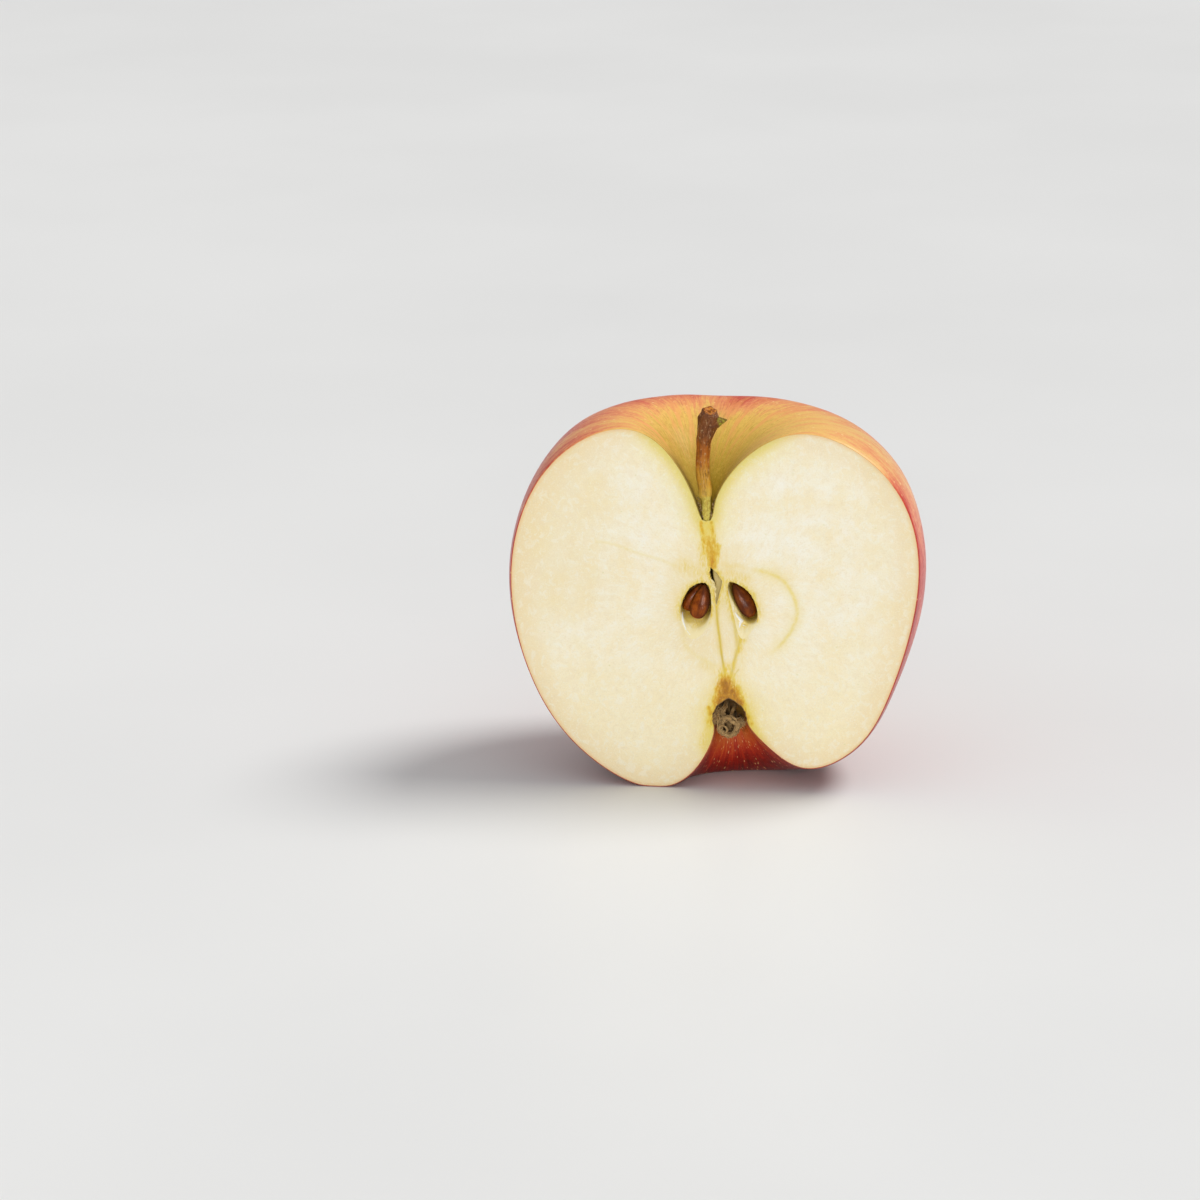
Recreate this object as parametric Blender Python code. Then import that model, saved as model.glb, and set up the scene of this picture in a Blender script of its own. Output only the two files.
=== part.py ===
"""Half of an apple cut from stalk to eye, standing on the rims of its eye basin."""
import math

import bmesh
import bpy
from mathutils import Matrix, Vector

for old in list(bpy.data.objects):
    bpy.data.objects.remove(old, do_unlink=True)

MM = 0.001

# ---- driving sizes, millimetres, in the frame of the cut face ----
# u runs right, v runs up the face, w runs back from it. Stations run from the pit of the
# stalk over the shoulder and down the flank to the bottom of the eye basin.
LEAN = math.radians(5.0)          # the cut face leans back by this much
LEFT_EDGE = [(-1.95, 12.4), (-3.35, 14.6), (-4.5, 18.6), (-8.9, 26.8), (-18.7, 31.8), (-32.0, 25.1),
             (-40.5, 3.5), (-36.6, -18.2), (-25.4, -33.2), (-11.2, -41.0), (-3.2, -36.3),
             (0.5, -28.3), (0.6, -26.4), (3.1, -22.6)]
RIGHT_EDGE = [(-1.95, 12.4), (-0.6, 14.6), (0.5, 18.6), (6.0, 26.8), (17.5, 31.8), (32.4, 24.4),
              (40.0, 3.0), (35.1, -19.6), (28.4, -31.4), (19.4, -35.8), (12.6, -33.0),
              (7.0, -27.5), (6.3, -25.8), (3.1, -22.6)]
BACK_EDGE = [(0.0, 12.4), (2.9, 14.6), (4.2, 18.6), (9.6, 27.6), (21.3, 34.5), (32.5, 28.8),
             (42.0, -1.0), (39.0, -18.6), (30.8, -34.6), (18.5, -42.2), (8.8, -37.2),
             (5.8, -29.0), (4.6, -26.4), (0.0, -22.6)]
SWELL = 0.26                      # how far the flanks widen just behind the cut
RISE = 0.88                       # how fast the shoulder climbs towards the back
SADDLE = 0.45                     # dip in the middle of the far shoulder
FLOOR_V = -40.6                   # height of the resting plane, measured at the cut face
SPAN_STEPS = 4
RING_STEPS = 46

SEED_ROUND = 14
SEED_STEPS = 11


def to_world(u, w, v):
    """A point of the cut-face frame in upright axes, metres."""
    return Vector((u, w * math.cos(LEAN) + v * math.sin(LEAN),
                   v * math.cos(LEAN) - w * math.sin(LEAN))) * MM


def spline(points, steps):
    """Natural cubic curve through the points, spaced by the root of their distance."""
    n, dim = len(points), len(points[0])
    h = [math.dist(points[i], points[i + 1]) ** 0.5 for i in range(n - 1)]
    bend = []
    for d in range(dim):
        slope = [(points[i + 1][d] - points[i][d]) / h[i] for i in range(n - 1)]
        diag, rhs = [1.0] * n, [0.0] * n
        for i in range(1, n - 1):
            lower = h[i - 1] if i > 1 else 0.0
            diag[i] = 2.0 * (h[i - 1] + h[i]) - lower * h[i - 1] / diag[i - 1]
            rhs[i] = 6.0 * (slope[i] - slope[i - 1]) - lower * rhs[i - 1] / diag[i - 1]
        m = [0.0] * n
        for i in range(n - 2, 0, -1):
            m[i] = (rhs[i] - h[i] * m[i + 1]) / diag[i]
        bend.append(m)
    out = []
    for i in range(n - 1):
        for k in range(steps):
            x = h[i] * k / steps
            r = h[i] - x
            out.append(tuple(
                (bend[d][i] * r ** 3 + bend[d][i + 1] * x ** 3) / (6.0 * h[i])
                + (points[i][d] / h[i] - bend[d][i] * h[i] / 6.0) * r
                + (points[i + 1][d] / h[i] - bend[d][i + 1] * h[i] / 6.0) * x
                for d in range(dim)))
    out.append(tuple(points[-1]))
    return out


def ring_point(station, angle):
    """Point of a half ring: 0 is the right edge, 90 degrees the back, 180 the left edge."""
    ul, vl, ur, vr, wb, vb = station
    c, s = math.cos(angle), max(math.sin(angle), 0.0)
    u = (ur + ul) / 2 + (ur - ul) / 2 * c * (1.0 + SWELL * s)
    w = wb * s
    v = (vr + vl) / 2 + (vr - vl) / 2 * c + (vb - (vr + vl) / 2) * s ** RISE
    if vb > 20.0:
        v -= SADDLE * math.exp(-((angle - 1.62) / 0.28) ** 2) * min(1.0, (vb - 20.0) / 10.0)
    floor = FLOOR_V + w * math.tan(LEAN)
    return u, w, max(v, floor)


def new_object(name, bm, colour, rough=0.5, smooth=True):
    bmesh.ops.recalc_face_normals(bm, faces=bm.faces)
    mesh = bpy.data.meshes.new(name)
    bm.to_mesh(mesh)
    bm.free()
    for poly in mesh.polygons:
        poly.use_smooth = smooth
    obj = bpy.data.objects.new(name, mesh)
    bpy.context.scene.collection.objects.link(obj)
    mat = bpy.data.materials.new(name + "_look")
    mat.use_nodes = True
    shader = mat.node_tree.nodes["Principled BSDF"]
    shader.inputs["Base Color"].default_value = (*colour, 1.0)
    shader.inputs["Roughness"].default_value = rough
    mat.diffuse_color = (*colour, 1.0)
    mesh.materials.append(mat)
    return obj


def skin_rings(bm, rings, top, bottom):
    """Quads between closed or open rings with a fan at each pole."""
    count = len(rings[0])
    for a, b in zip(rings, rings[1:]):
        for j in range(count - 1):
            bm.faces.new((a[j], a[j + 1], b[j + 1], b[j]))
    for j in range(count - 1):
        bm.faces.new((top, rings[0][j + 1], rings[0][j]))
        bm.faces.new((bottom, rings[-1][j], rings[-1][j + 1]))


def make_body():
    keys = [(*a, *b, *c) for a, b, c in zip(LEFT_EDGE, RIGHT_EDGE, BACK_EDGE)]
    stations = spline(keys, SPAN_STEPS)
    bm = bmesh.new()
    rings = []
    for station in stations[1:-1]:
        rings.append([bm.verts.new(to_world(*ring_point(station, math.pi * j / RING_STEPS)))
                      for j in range(RING_STEPS + 1)])
    top = bm.verts.new(to_world(stations[0][0], 0.0, stations[0][1]))
    bottom = bm.verts.new(to_world(stations[-1][0], 0.0, stations[-1][1]))
    skin_rings(bm, rings, top, bottom)
    bm.faces.new([top] + [r[0] for r in rings] + [bottom] + [r[-1] for r in reversed(rings)])
    return new_object("body", bm, (0.78, 0.36, 0.16), 0.35)


def teardrop(bm, tip, end, half_width, half_depth, roll=0.0, around=SEED_ROUND, steps=SEED_STEPS,
             blunt=0.62, swell_at=0.62):
    """Closed seed form from a narrow tip to a rounded end; the points are (u, w, v)."""
    a, b = Vector(to_world(*tip)), Vector(to_world(*end))
    axis = (b - a).normalized()
    back = (to_world(0, 1, 0) - to_world(0, 0, 0)).normalized()
    side = axis.cross(back).normalized()
    depth = side.cross(axis).normalized()
    turn = Matrix.Rotation(roll, 3, axis)
    side, depth = turn @ side, turn @ depth
    rings = []
    for i in range(1, steps):
        t = (1 - math.cos(math.pi * i / steps)) / 2
        fat = (t ** blunt) * ((1 - t) ** (blunt * (1 - swell_at) / swell_at))
        peak = (swell_at ** blunt) * ((1 - swell_at) ** (blunt * (1 - swell_at) / swell_at))
        r = fat / peak
        centre = a.lerp(b, t)
        rings.append([bm.verts.new(centre + side * (half_width * MM * r * math.cos(q))
                                   + depth * (half_depth * MM * r * math.sin(q)))
                      for q in (2 * math.pi * j / around for j in range(around))])
    rings = [r + [r[0]] for r in rings]
    skin_rings(bm, rings, bm.verts.new(a), bm.verts.new(b))


def make_seed(name, tip, end, half_width, half_depth, roll):
    bm = bmesh.new()
    teardrop(bm, tip, end, half_width, half_depth, roll)
    return new_object(name, bm, (0.22, 0.07, 0.03), 0.3)


def cut(body, name, bm):
    cutter = new_object(name, bm, (0.8, 0.75, 0.6))
    cutter.hide_render = True
    cutter.display_type = 'WIRE'
    mod = body.modifiers.new(name, 'BOOLEAN')
    mod.operation = 'DIFFERENCE'
    mod.solver = 'EXACT'
    mod.object = cutter


def make_locule(body, name, outline, deepest, depth, steps=7):
    """Seed chamber: its opening in the cut face, closing like a bowl over a deepest point."""
    n = len(outline)
    wrapped = outline[-3:] + outline + outline[:3]
    edge = spline(wrapped, 3)[9:9 + 3 * n]
    bm = bmesh.new()
    rings = []
    for k in range(-1, steps):
        a = math.pi / 2 * max(k, 0) / steps
        s, w = math.cos(a), (depth * math.sin(a) if k >= 0 else -1.0)
        rings.append([bm.verts.new(to_world(deepest[0] + (u - deepest[0]) * s, w,
                                            deepest[1] + (v - deepest[1]) * s)) for u, v in edge])
    rings = [r + [r[0]] for r in rings]
    bottom = bm.verts.new(to_world(deepest[0], depth, deepest[1]))
    front = bm.verts.new(to_world(deepest[0], -1.0, deepest[1]))
    skin_rings(bm, rings, front, bottom)
    cut(body, name, bm)


def make_slit(body, outline, depth):
    """Kite-shaped gap in the core, narrowing to the back."""
    bm = bmesh.new()
    cu = sum(p[0] for p in outline) / len(outline)
    cv = sum(p[1] for p in outline) / len(outline)
    front = [bm.verts.new(to_world(cu + (p[0] - cu) * 1.25, -1.0, cv + (p[1] - cv) * 1.25))
             for p in outline]
    back = [bm.verts.new(to_world(cu + (p[0] - cu) * 0.4, depth, cv + (p[1] - cv) * 0.4))
            for p in outline]
    n = len(outline)
    bm.faces.new(front)
    bm.faces.new(list(reversed(back)))
    for i in range(n):
        bm.faces.new((front[i], back[i], back[(i + 1) % n], front[(i + 1) % n]))
    cut(body, "core_slit_cutter", bm)


def tube(bm, path, around):
    """Closed tube through (u, w, v, radius across, radius deep) stations."""
    rings = []
    for u, w, v, ra, rd in path:
        rings.append([bm.verts.new(to_world(u + ra * math.cos(q), w + rd * math.sin(q), v))
                      for q in (2 * math.pi * j / around for j in range(around))])
    first, last = path[0], path[-1]
    rings = [r + [r[0]] for r in rings]
    skin_rings(bm, rings, bm.verts.new(to_world(*first[:3])), bm.verts.new(to_world(*last[:3])))


# stalk: centre line and radii from its foot in the pit to the knob at its head
STEM_PATH = [(-1.95, 1.2, 14.6, 0.8, 0.75), (-2.1, 1.5, 17.9, 1.0, 0.95), (-2.5, 1.7, 20.8, 1.15, 1.1),
             (-2.95, 2.0, 23.8, 1.3, 1.25), (-2.85, 2.2, 27.8, 1.35, 1.3), (-2.55, 2.4, 30.4, 1.5, 1.4),
             (-2.1, 2.5, 32.4, 1.85, 1.6), (-1.85, 2.6, 34.2, 1.85, 1.6), (-1.7, 2.6, 35.5, 1.3, 1.2)]
STUB_FROM, STUB_TO = (-1.2, 2.5, 33.2), (1.75, 2.4, 34.2)


def make_stem():
    bm = bmesh.new()
    tube(bm, spline(STEM_PATH, 2), 14)
    stem = new_object("stem", bm, (0.36, 0.2, 0.08), 0.6)
    stub = bmesh.new()
    a, b = to_world(*STUB_FROM), to_world(*STUB_TO)
    axis = (b - a).normalized()
    across = Vector((0.0, 0.0, 1.0)).cross(axis).normalized()
    up = axis.cross(across)
    rings = []
    for t, r in ((0.0, 1.35), (0.35, 1.2), (0.7, 0.75)):
        c = a.lerp(b, t)
        rings.append([stub.verts.new(c + across * (0.8 * r * MM * math.cos(q)) + up * (r * MM * math.sin(q)))
                      for q in (2 * math.pi * j / 10 for j in range(10))])
    rings = [r + [r[0]] for r in rings]
    skin_rings(stub, rings, stub.verts.new(a), stub.verts.new(b))
    other = new_object("stem_stub_tool", stub, (0.36, 0.2, 0.08))
    other.hide_render = True
    other.display_type = 'WIRE'
    mod = stem.modifiers.new("stub", 'BOOLEAN')
    mod.operation = 'UNION'
    mod.solver = 'EXACT'
    mod.object = other
    return stem


# calyx: dried sepals as a five-lobed cup with an open mouth, stations of height and radius
CALYX_AXIS = [(3.2, 1.8, -24.6), (3.3, 1.8, -30.2)]
CALYX_WALL = [(0.1, 0.9), (0.22, 1.6), (0.36, 2.1), (0.55, 2.25), (0.78, 2.2), (0.93, 2.0),
              (1.0, 1.6), (0.9, 1.2), (0.7, 0.95), (0.55, 0.6)]
CALYX_LOBES, CALYX_RUFFLE = 5, 0.08


def make_calyx():
    bm = bmesh.new()
    (u0, w0, v0), (u1, w1, v1) = CALYX_AXIS
    around = 30
    rings = []
    for t, r in CALYX_WALL:
        ring = []
        for j in range(around):
            q = 2 * math.pi * j / around
            k = r * (1 + CALYX_RUFFLE * math.cos(CALYX_LOBES * q + 0.6) * min(1.0, 2 * t))
            ring.append(bm.verts.new(to_world(u0 + (u1 - u0) * t + k * math.cos(q),
                                              w0 + (w1 - w0) * t + k * math.sin(q),
                                              v0 + (v1 - v0) * t)))
        rings.append(ring + [ring[0]])
    top = bm.verts.new(to_world(u0, w0, v0))
    inner = bm.verts.new(to_world(u0 + (u1 - u0) * 0.5, w0 + (w1 - w0) * 0.5, v0 + (v1 - v0) * 0.5))
    skin_rings(bm, rings, top, inner)
    return new_object("calyx", bm, (0.25, 0.17, 0.1), 0.8)


body = make_body()
make_locule(body, "left_locule_cutter",
            [(-2.2, 1.4), (-4.5, 0.6), (-6.2, -1.9), (-6.8, -4.6), (-6.2, -7.6), (-4.7, -10.0),
             (-2.6, -9.2), (-1.0, -6.2), (-0.7, -2.6), (-1.2, 0.5)], (-4.0, -3.0), 6.2)
make_locule(body, "right_locule_cutter",
            [(3.0, 1.7), (5.3, 0.8), (7.3, -1.1), (8.5, -4.2), (8.4, -6.9), (6.6, -9.8),
             (4.7, -7.6), (3.4, -3.2)], (5.9, -3.0), 4.8)
make_slit(body, [(-0.9, 4.4), (1.4, 1.8), (0.5, -2.8), (-0.7, 1.4)], 3.5)
pieces = [
    body,
    make_stem(),
    make_seed("seed_left_back", (-2.5, 3.1, 0.3), (-5.3, 3.0, -4.8), 1.5, 1.0, math.radians(15)),
    make_seed("seed_left_front", (-2.1, 1.1, 0.5), (-3.5, 0.8, -6.1), 1.6, 1.0, math.radians(-10)),
    make_seed("seed_right", (3.8, 1.5, 1.0), (7.3, 1.4, -5.3), 1.4, 1.1, math.radians(10)),
    make_calyx(),
]

# origin at the bottom centre of the bounding box
xs = [v.co.x for p in pieces for v in p.data.vertices]
ys = [v.co.y for p in pieces for v in p.data.vertices]
zs = [v.co.z for p in pieces for v in p.data.vertices]
shift = Matrix.Translation((-(min(xs) + max(xs)) / 2, -(min(ys) + max(ys)) / 2, -min(zs)))
for obj in bpy.data.objects:
    obj.data.transform(shift)
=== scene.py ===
"""Looks of an apple half: striped skin, moist cream flesh, open seed chambers, seeds, stalk and dried calyx."""
import math
import random

import bpy
import numpy as np
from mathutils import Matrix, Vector
from mathutils.geometry import delaunay_2d_cdt

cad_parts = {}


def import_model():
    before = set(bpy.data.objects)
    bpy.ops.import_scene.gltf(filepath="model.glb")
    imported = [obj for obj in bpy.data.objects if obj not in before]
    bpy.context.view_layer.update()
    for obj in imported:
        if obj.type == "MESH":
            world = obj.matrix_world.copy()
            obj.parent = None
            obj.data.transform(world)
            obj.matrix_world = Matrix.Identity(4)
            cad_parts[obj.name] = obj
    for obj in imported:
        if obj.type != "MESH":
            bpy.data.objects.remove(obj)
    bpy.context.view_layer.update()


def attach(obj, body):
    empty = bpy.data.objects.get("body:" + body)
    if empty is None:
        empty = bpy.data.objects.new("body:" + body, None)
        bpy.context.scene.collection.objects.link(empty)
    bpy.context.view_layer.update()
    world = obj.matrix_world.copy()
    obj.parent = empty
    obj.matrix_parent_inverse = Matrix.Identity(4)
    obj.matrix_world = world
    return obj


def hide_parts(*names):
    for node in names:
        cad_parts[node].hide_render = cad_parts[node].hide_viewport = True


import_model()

MM = 0.001
LEAN = math.radians(5.0)
CORE = np.array([0.25, -19.1073, 40.4455])      # middle of the core in the frame, mm

# Cut-face frame, mm: u right, v up the face, w back from it. One row per station from the
# pit of the stalk over the shoulder, down the flank and into the eye basin.
LEFT_EDGE = [(-1.95, 12.7), (-3.05, 14.8), (-4.5, 18.6), (-9.3, 26.8), (-18.7, 31.8), (-32.0, 25.1),
             (-40.5, 3.5), (-36.6, -18.2), (-26.5, -33.2), (-12.6, -40.75), (-3.5, -37.0),
             (0.35, -28.5), (0.0, -26.2), (0.7, -23.8), (3.1, -21.9)]
RIGHT_EDGE = [(-1.95, 12.7), (-0.85, 14.8), (-0.05, 18.6), (5.6, 26.8), (17.5, 31.8), (32.4, 24.4),
              (40.0, 3.0), (35.1, -19.6), (28.4, -31.4), (19.4, -35.8), (12.6, -33.0),
              (7.15, -27.5), (6.6, -25.8), (5.8, -23.8), (3.1, -21.9)]
BACK_EDGE = [(0.0, 12.7), (2.9, 14.8), (4.2, 18.6), (9.6, 27.8), (21.3, 34.9), (32.5, 29.0),
             (42.0, -1.0), (39.0, -18.6), (30.8, -34.6), (18.0, -42.1), (8.4, -37.5),
             (5.7, -29.2), (4.8, -26.4), (4.0, -24.0), (0.0, -21.9)]
SWELL, RISE, SADDLE = 0.26, 0.88, 0.45          # roundness of a ring, of its height, and the dip of the far rim
FLOOR_V = -40.6                                 # where the floor meets the cut plane
FOOT_V = 14.1                                   # where the flesh closes round the foot of the stalk
SPAN_STEPS, RING_STEPS = 16, 150
SKIN_THICK = 0.15

LEFT_LOCULE = [(-2.2, 1.4), (-4.5, 0.6), (-6.2, -1.9), (-6.8, -4.6), (-6.2, -7.6), (-4.7, -10.0),
               (-2.6, -9.2), (-1.0, -6.2), (-0.7, -2.6), (-1.2, 0.5)]
RIGHT_LOCULE = [(2.75, 1.6), (5.3, 0.8), (7.3, -1.1), (8.45, -4.2), (8.0, -6.9), (5.6, -9.7),
                (4.35, -7.4), (3.2, -2.9)]
SLIT = [(-0.98, 4.6), (-0.45, 4.1), (-0.1, 3.75), (0.2, 3.6), (0.7, 2.9), (1.38, 1.9), (1.28, 1.0),
        (1.1, 0.1), (0.85, -0.9), (0.63, -1.98), (0.33, -3.2), (0.07, -1.98), (-0.04, -0.1), (-0.02, 0.5),
        (-0.3, 1.0), (-0.25, 1.3), (-0.6, 1.5), (-0.85, 2.0), (-0.78, 2.3), (-1.05, 2.7), (-0.95, 2.95),
        (-1.2, 3.4), (-1.0, 3.9)]
# lines on the flesh: the core line round the right chamber, a crease, the rest of the core line at the
# left, and yellow threads, each with its half width and strength
ARC = [(5.0, 4.5), (7.8, 4.3), (10.0, 3.9), (13.0, 2.6), (14.9, 0.3), (16.2, -3.1), (15.85, -6.2),
       (14.5, -8.9), (12.3, -11.5), (9.7, -13.4)]
CREASE = [(-23.2, 9.0), (-20.3, 8.6), (-14.8, 6.8), (-11.6, 6.0), (-8.0, 4.6)]
LEFT_ARC = [(-6.4, -9.6), (-5.4, -11.8), (-2.6, -14.0), (0.4, -15.4)]
THREADS = [([(0.33, -3.2), (0.6, -6.5), (1.1, -10.0), (1.45, -12.6), (2.3, -17.2)], 0.26, 0.95),
           ([(5.3, -9.0), (4.7, -11.6), (4.0, -14.6), (3.4, -17.8)], 0.30, 0.75),
           ([(3.6, -5.2), (4.2, -8.2), (4.6, -11.4)], 0.40, 0.5),
           ([(1.9, -15.0), (2.1, -16.6), (2.5, -18.4)], 0.14, 0.5),
           ([(1.0, -16.4), (1.6, -17.6), (2.0, -18.8)], 0.14, 0.5),
           ([(4.9, -16.0), (4.1, -17.2), (3.4, -18.6)], 0.16, 0.5)]


# ---------------------------------------------------------------- shapes

def world(points):
    """Cut-face points (u, w, v) in mm to frame metres."""
    p = np.asarray(points, float)
    u, w, v = p[..., 0], p[..., 1], p[..., 2]
    y = w * math.cos(LEAN) + v * math.sin(LEAN)
    z = v * math.cos(LEAN) - w * math.sin(LEAN)
    return (np.stack([u, y, z], -1) + CORE) * MM


def spline(points, steps):
    """Natural cubic curve through the points, spaced by the root of their distance."""
    p = np.asarray(points, float)
    n = len(p)
    h = np.linalg.norm(np.diff(p, axis=0), axis=1) ** 0.5
    a, b = np.eye(n), np.zeros_like(p)
    for i in range(1, n - 1):
        a[i, i - 1:i + 2] = h[i - 1], 2 * (h[i - 1] + h[i]), h[i]
        b[i] = 6 * ((p[i + 1] - p[i]) / h[i] - (p[i] - p[i - 1]) / h[i - 1])
    m = np.linalg.solve(a, b)
    out = []
    for i in range(n - 1):
        x = h[i] * np.arange(steps)[:, None] / steps
        r = h[i] - x
        out.append((m[i] * r ** 3 + m[i + 1] * x ** 3) / (6 * h[i])
                   + (p[i] / h[i] - m[i] * h[i] / 6) * r
                   + (p[i + 1] / h[i] - m[i + 1] * h[i] / 6) * x)
    return np.concatenate(out + [p[-1:]])


def closed_spline(points, steps):
    n = len(points)
    pts = list(points)
    return spline(pts[-3:] + pts + pts[:3], steps)[3 * steps:(3 + n) * steps]


def bell(x, width):
    return np.exp(-(x / width) ** 2)


def unit(vectors):
    """Vectors at length 1."""
    return vectors / np.maximum(np.linalg.norm(vectors, axis=-1, keepdims=True), 1e-9)


def smooth(x, lo, hi):
    """A soft step from 0, where x is lo, to 1, where it is hi."""
    t = np.clip((np.asarray(x, float) - lo) / (hi - lo), 0, 1)
    return t * t * (3 - 2 * t)


def waves(p, scale, seed=0.0):
    """A smooth uneven field between about -1 and 1, from crossed sine waves."""
    q = np.asarray(p, float) * scale
    a, b = q[..., 0], q[..., -1]
    c = q[..., 1] if q.shape[-1] > 2 else 0.0
    return (np.sin(a * 1.0 + b * 0.63 + c * 0.4 + seed) + np.sin(a * -0.71 + b * 1.31 + c * 0.9 + seed * 2.1)
            + np.sin(a * 1.73 + b * -0.47 + c * 1.3 + seed * 0.7)
            + np.sin(b * 2.17 + a * 0.9 - c * 1.1 + seed * 1.7)) / 4


def rings(stations, angles):
    """Half rings: angle 0 is the right edge of the cut, 180 degrees the left edge."""
    ul, vl, ur, vr, wb, vb = (stations[:, k][:, None] for k in range(6))
    c, s = np.cos(angles)[None], np.clip(np.sin(angles), 0, 1)[None]
    u = (ur + ul) / 2 + (ur - ul) / 2 * c * (1 + SWELL * s)
    w = wb * s
    v = (vr + vl) / 2 + (vr - vl) / 2 * c + (vb - (vr + vl) / 2) * s ** RISE
    v = v - SADDLE * bell(angles[None] - 1.62, 0.28) * np.clip((vb - 20) / 10, 0, 1)
    return np.stack([u, w, v], -1)


def rest_on_floor(p, soft=0.16):
    """Flatten what would go through the floor, with a soft turn into the flat."""
    floor = FLOOR_V + p[..., 1] * math.tan(LEAN)
    x = (p[..., 2] - floor) / soft
    p[..., 2] = floor + soft * np.where(x > 20, x, np.log1p(np.exp(np.minimum(x, 20))))
    return p


def distance(pts, line, closed=True):
    """Distance of each 2-D point to a polyline and the place along it (segment index plus fraction)."""
    a = np.asarray(line, float)
    b = np.roll(a, -1, 0) if closed else a[1:]
    a = a if closed else a[:-1]
    ab = b - a
    best, where = np.full(len(pts), 1e9), np.zeros(len(pts))
    for lo in range(0, len(pts), 4000):
        q = pts[lo:lo + 4000]
        t = np.clip(((q[:, None] - a) * ab).sum(-1) / np.maximum((ab ** 2).sum(-1), 1e-12), 0, 1)
        d = np.linalg.norm(q[:, None] - (a + t[..., None] * ab), axis=-1)
        k = d.argmin(1)
        best[lo:lo + 4000] = d[np.arange(len(q)), k]
        where[lo:lo + 4000] = k + t[np.arange(len(q)), k]
    return best, where


def curve_distance(pts, line, steps):
    """Distance to an open curve through a few points, and the place along it from 0 to 1."""
    d, t = distance(pts, spline(line, steps), closed=False)
    return d, t / (steps * (len(line) - 1))


def inside(pts, poly):
    a = np.asarray(poly, float)
    b = np.roll(a, -1, 0)
    hits = np.zeros(len(pts), bool)
    for lo in range(0, len(pts), 4000):
        x, y = pts[lo:lo + 4000, 0][:, None], pts[lo:lo + 4000, 1][:, None]
        cross = (a[:, 1] > y) != (b[:, 1] > y)
        rise = np.where(b[:, 1] == a[:, 1], 1e-12, b[:, 1] - a[:, 1])
        xs = a[:, 0] + (y - a[:, 1]) * (b[:, 0] - a[:, 0]) / rise
        hits[lo:lo + 4000] = (cross & (x < xs)).sum(1) % 2 == 1
    return hits


def make(name, verts, faces, material, fields, sharp=None):
    """Mesh object from points in metres, with one float or vector attribute per field."""
    me = bpy.data.meshes.new(name)
    me.from_pydata(np.asarray(verts, float).tolist(), [], [list(map(int, f)) for f in faces])
    me.materials.append(material)
    for key, values in fields.items():
        values = np.asarray(values, np.float32)
        kind = 'FLOAT_VECTOR' if values.ndim == 2 else 'FLOAT'
        layer = me.attributes.new(key, kind, 'POINT')
        layer.data.foreach_set('vector' if values.ndim == 2 else 'value', values.ravel())
    me.polygons.foreach_set('use_smooth', [True] * len(me.polygons))
    if sharp:
        me.set_sharp_from_angle(angle=math.radians(sharp))
    me.update()
    obj = bpy.data.objects.new(name, me)
    bpy.context.scene.collection.objects.link(obj)
    return obj


def grid_faces(rows, cols, wrap=False):
    ends = [(j, (j + 1) % cols) for j in range(cols if wrap else cols - 1)]
    return [(i * cols + j, i * cols + k, (i + 1) * cols + k, (i + 1) * cols + j)
            for i in range(rows - 1) for j, k in ends]


def tube(path, radius, around=12, ripple=None):
    """Points and faces of a closed tube along world points; radius is a list, one per point."""
    p = np.asarray(path, float)
    n = len(p)
    t = unit(np.gradient(p, axis=0))
    ref = np.array([0.0, 1.0, 0.0]) if abs(t[0][1]) < 0.9 else np.array([1.0, 0.0, 0.0])
    side = np.cross(t[0], ref)
    verts, across = [], []
    for i in range(n):
        side = unit(side - t[i] * np.dot(side, t[i]))
        up = np.cross(t[i], side)
        for j in range(around):
            a = 2 * math.pi * j / around
            r = radius[i] * (1 + (ripple(i / (n - 1), a) if ripple else 0))
            verts.append(p[i] + (side * math.cos(a) + up * math.sin(a)) * r)
            across.append((i / (n - 1), a / (2 * math.pi)))
    faces = [f[::-1] for f in grid_faces(n, around, wrap=True)]
    start, end, last = n * around, n * around + 1, (n - 1) * around
    for j in range(around):
        k = (j + 1) % around
        faces += [(start, j, k), (end, last + k, last + j)]
    return np.array(verts + [p[0], p[-1]]), faces, np.array(across + [(0.0, 0.0), (1.0, 0.0)])


def marks(along, place):
    """Attributes of a long form: place along it, turn round it, and one free mark."""
    t, a, mark = np.asarray(along, float).T
    turn = np.stack([np.cos(2 * math.pi * a), np.sin(2 * math.pi * a), np.floor(a)], -1)
    return {"t": t, "turn": turn, "mark": mark, "place": np.asarray(place) / MM - CORE}


def pick(rnd, *ranges):
    """A random point, one number from each range."""
    return np.array([rnd.uniform(*r) for r in ranges])


class Bundle:
    """Many small forms, in cut-face mm, that become one mesh."""

    def __init__(self):
        self.verts, self.faces, self.along, self.count = [], [], [], 0

    def put(self, points, faces, along):
        self.verts.append(world(points))
        self.along.append(along)
        self.faces += [tuple(self.count + j for j in face) for face in faces]
        self.count += len(points)

    def put_tube(self, path, radius, around, t, turn, mark, rise=0.0):
        points, faces, across = tube(path, radius, around)
        along = np.stack([t + rise * across[:, 0], turn + across[:, 1], mark + 0 * across[:, 0]], -1)
        self.put(points, faces, along)

    def make(self, name, material):
        verts = np.concatenate(self.verts)
        return make(name, verts, self.faces, material, marks(np.concatenate(self.along), verts))


# ---------------------------------------------------------------- material graph

def linear(rgb):
    c = np.asarray(rgb, float) / 255
    return np.where(c <= 0.04045, c / 12.92, ((c + 0.055) / 1.055) ** 2.4)


class Value:
    """A socket of a material graph that takes part in sums like a number."""

    def __init__(self, look, socket):
        self.look, self.socket = look, socket

    def __add__(self, other):
        return self.look.math('ADD', self, other)

    def __sub__(self, other):
        return self.look.math('SUBTRACT', self, other)

    def __mul__(self, other):
        return self.look.math('MULTIPLY', self, other)


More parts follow.
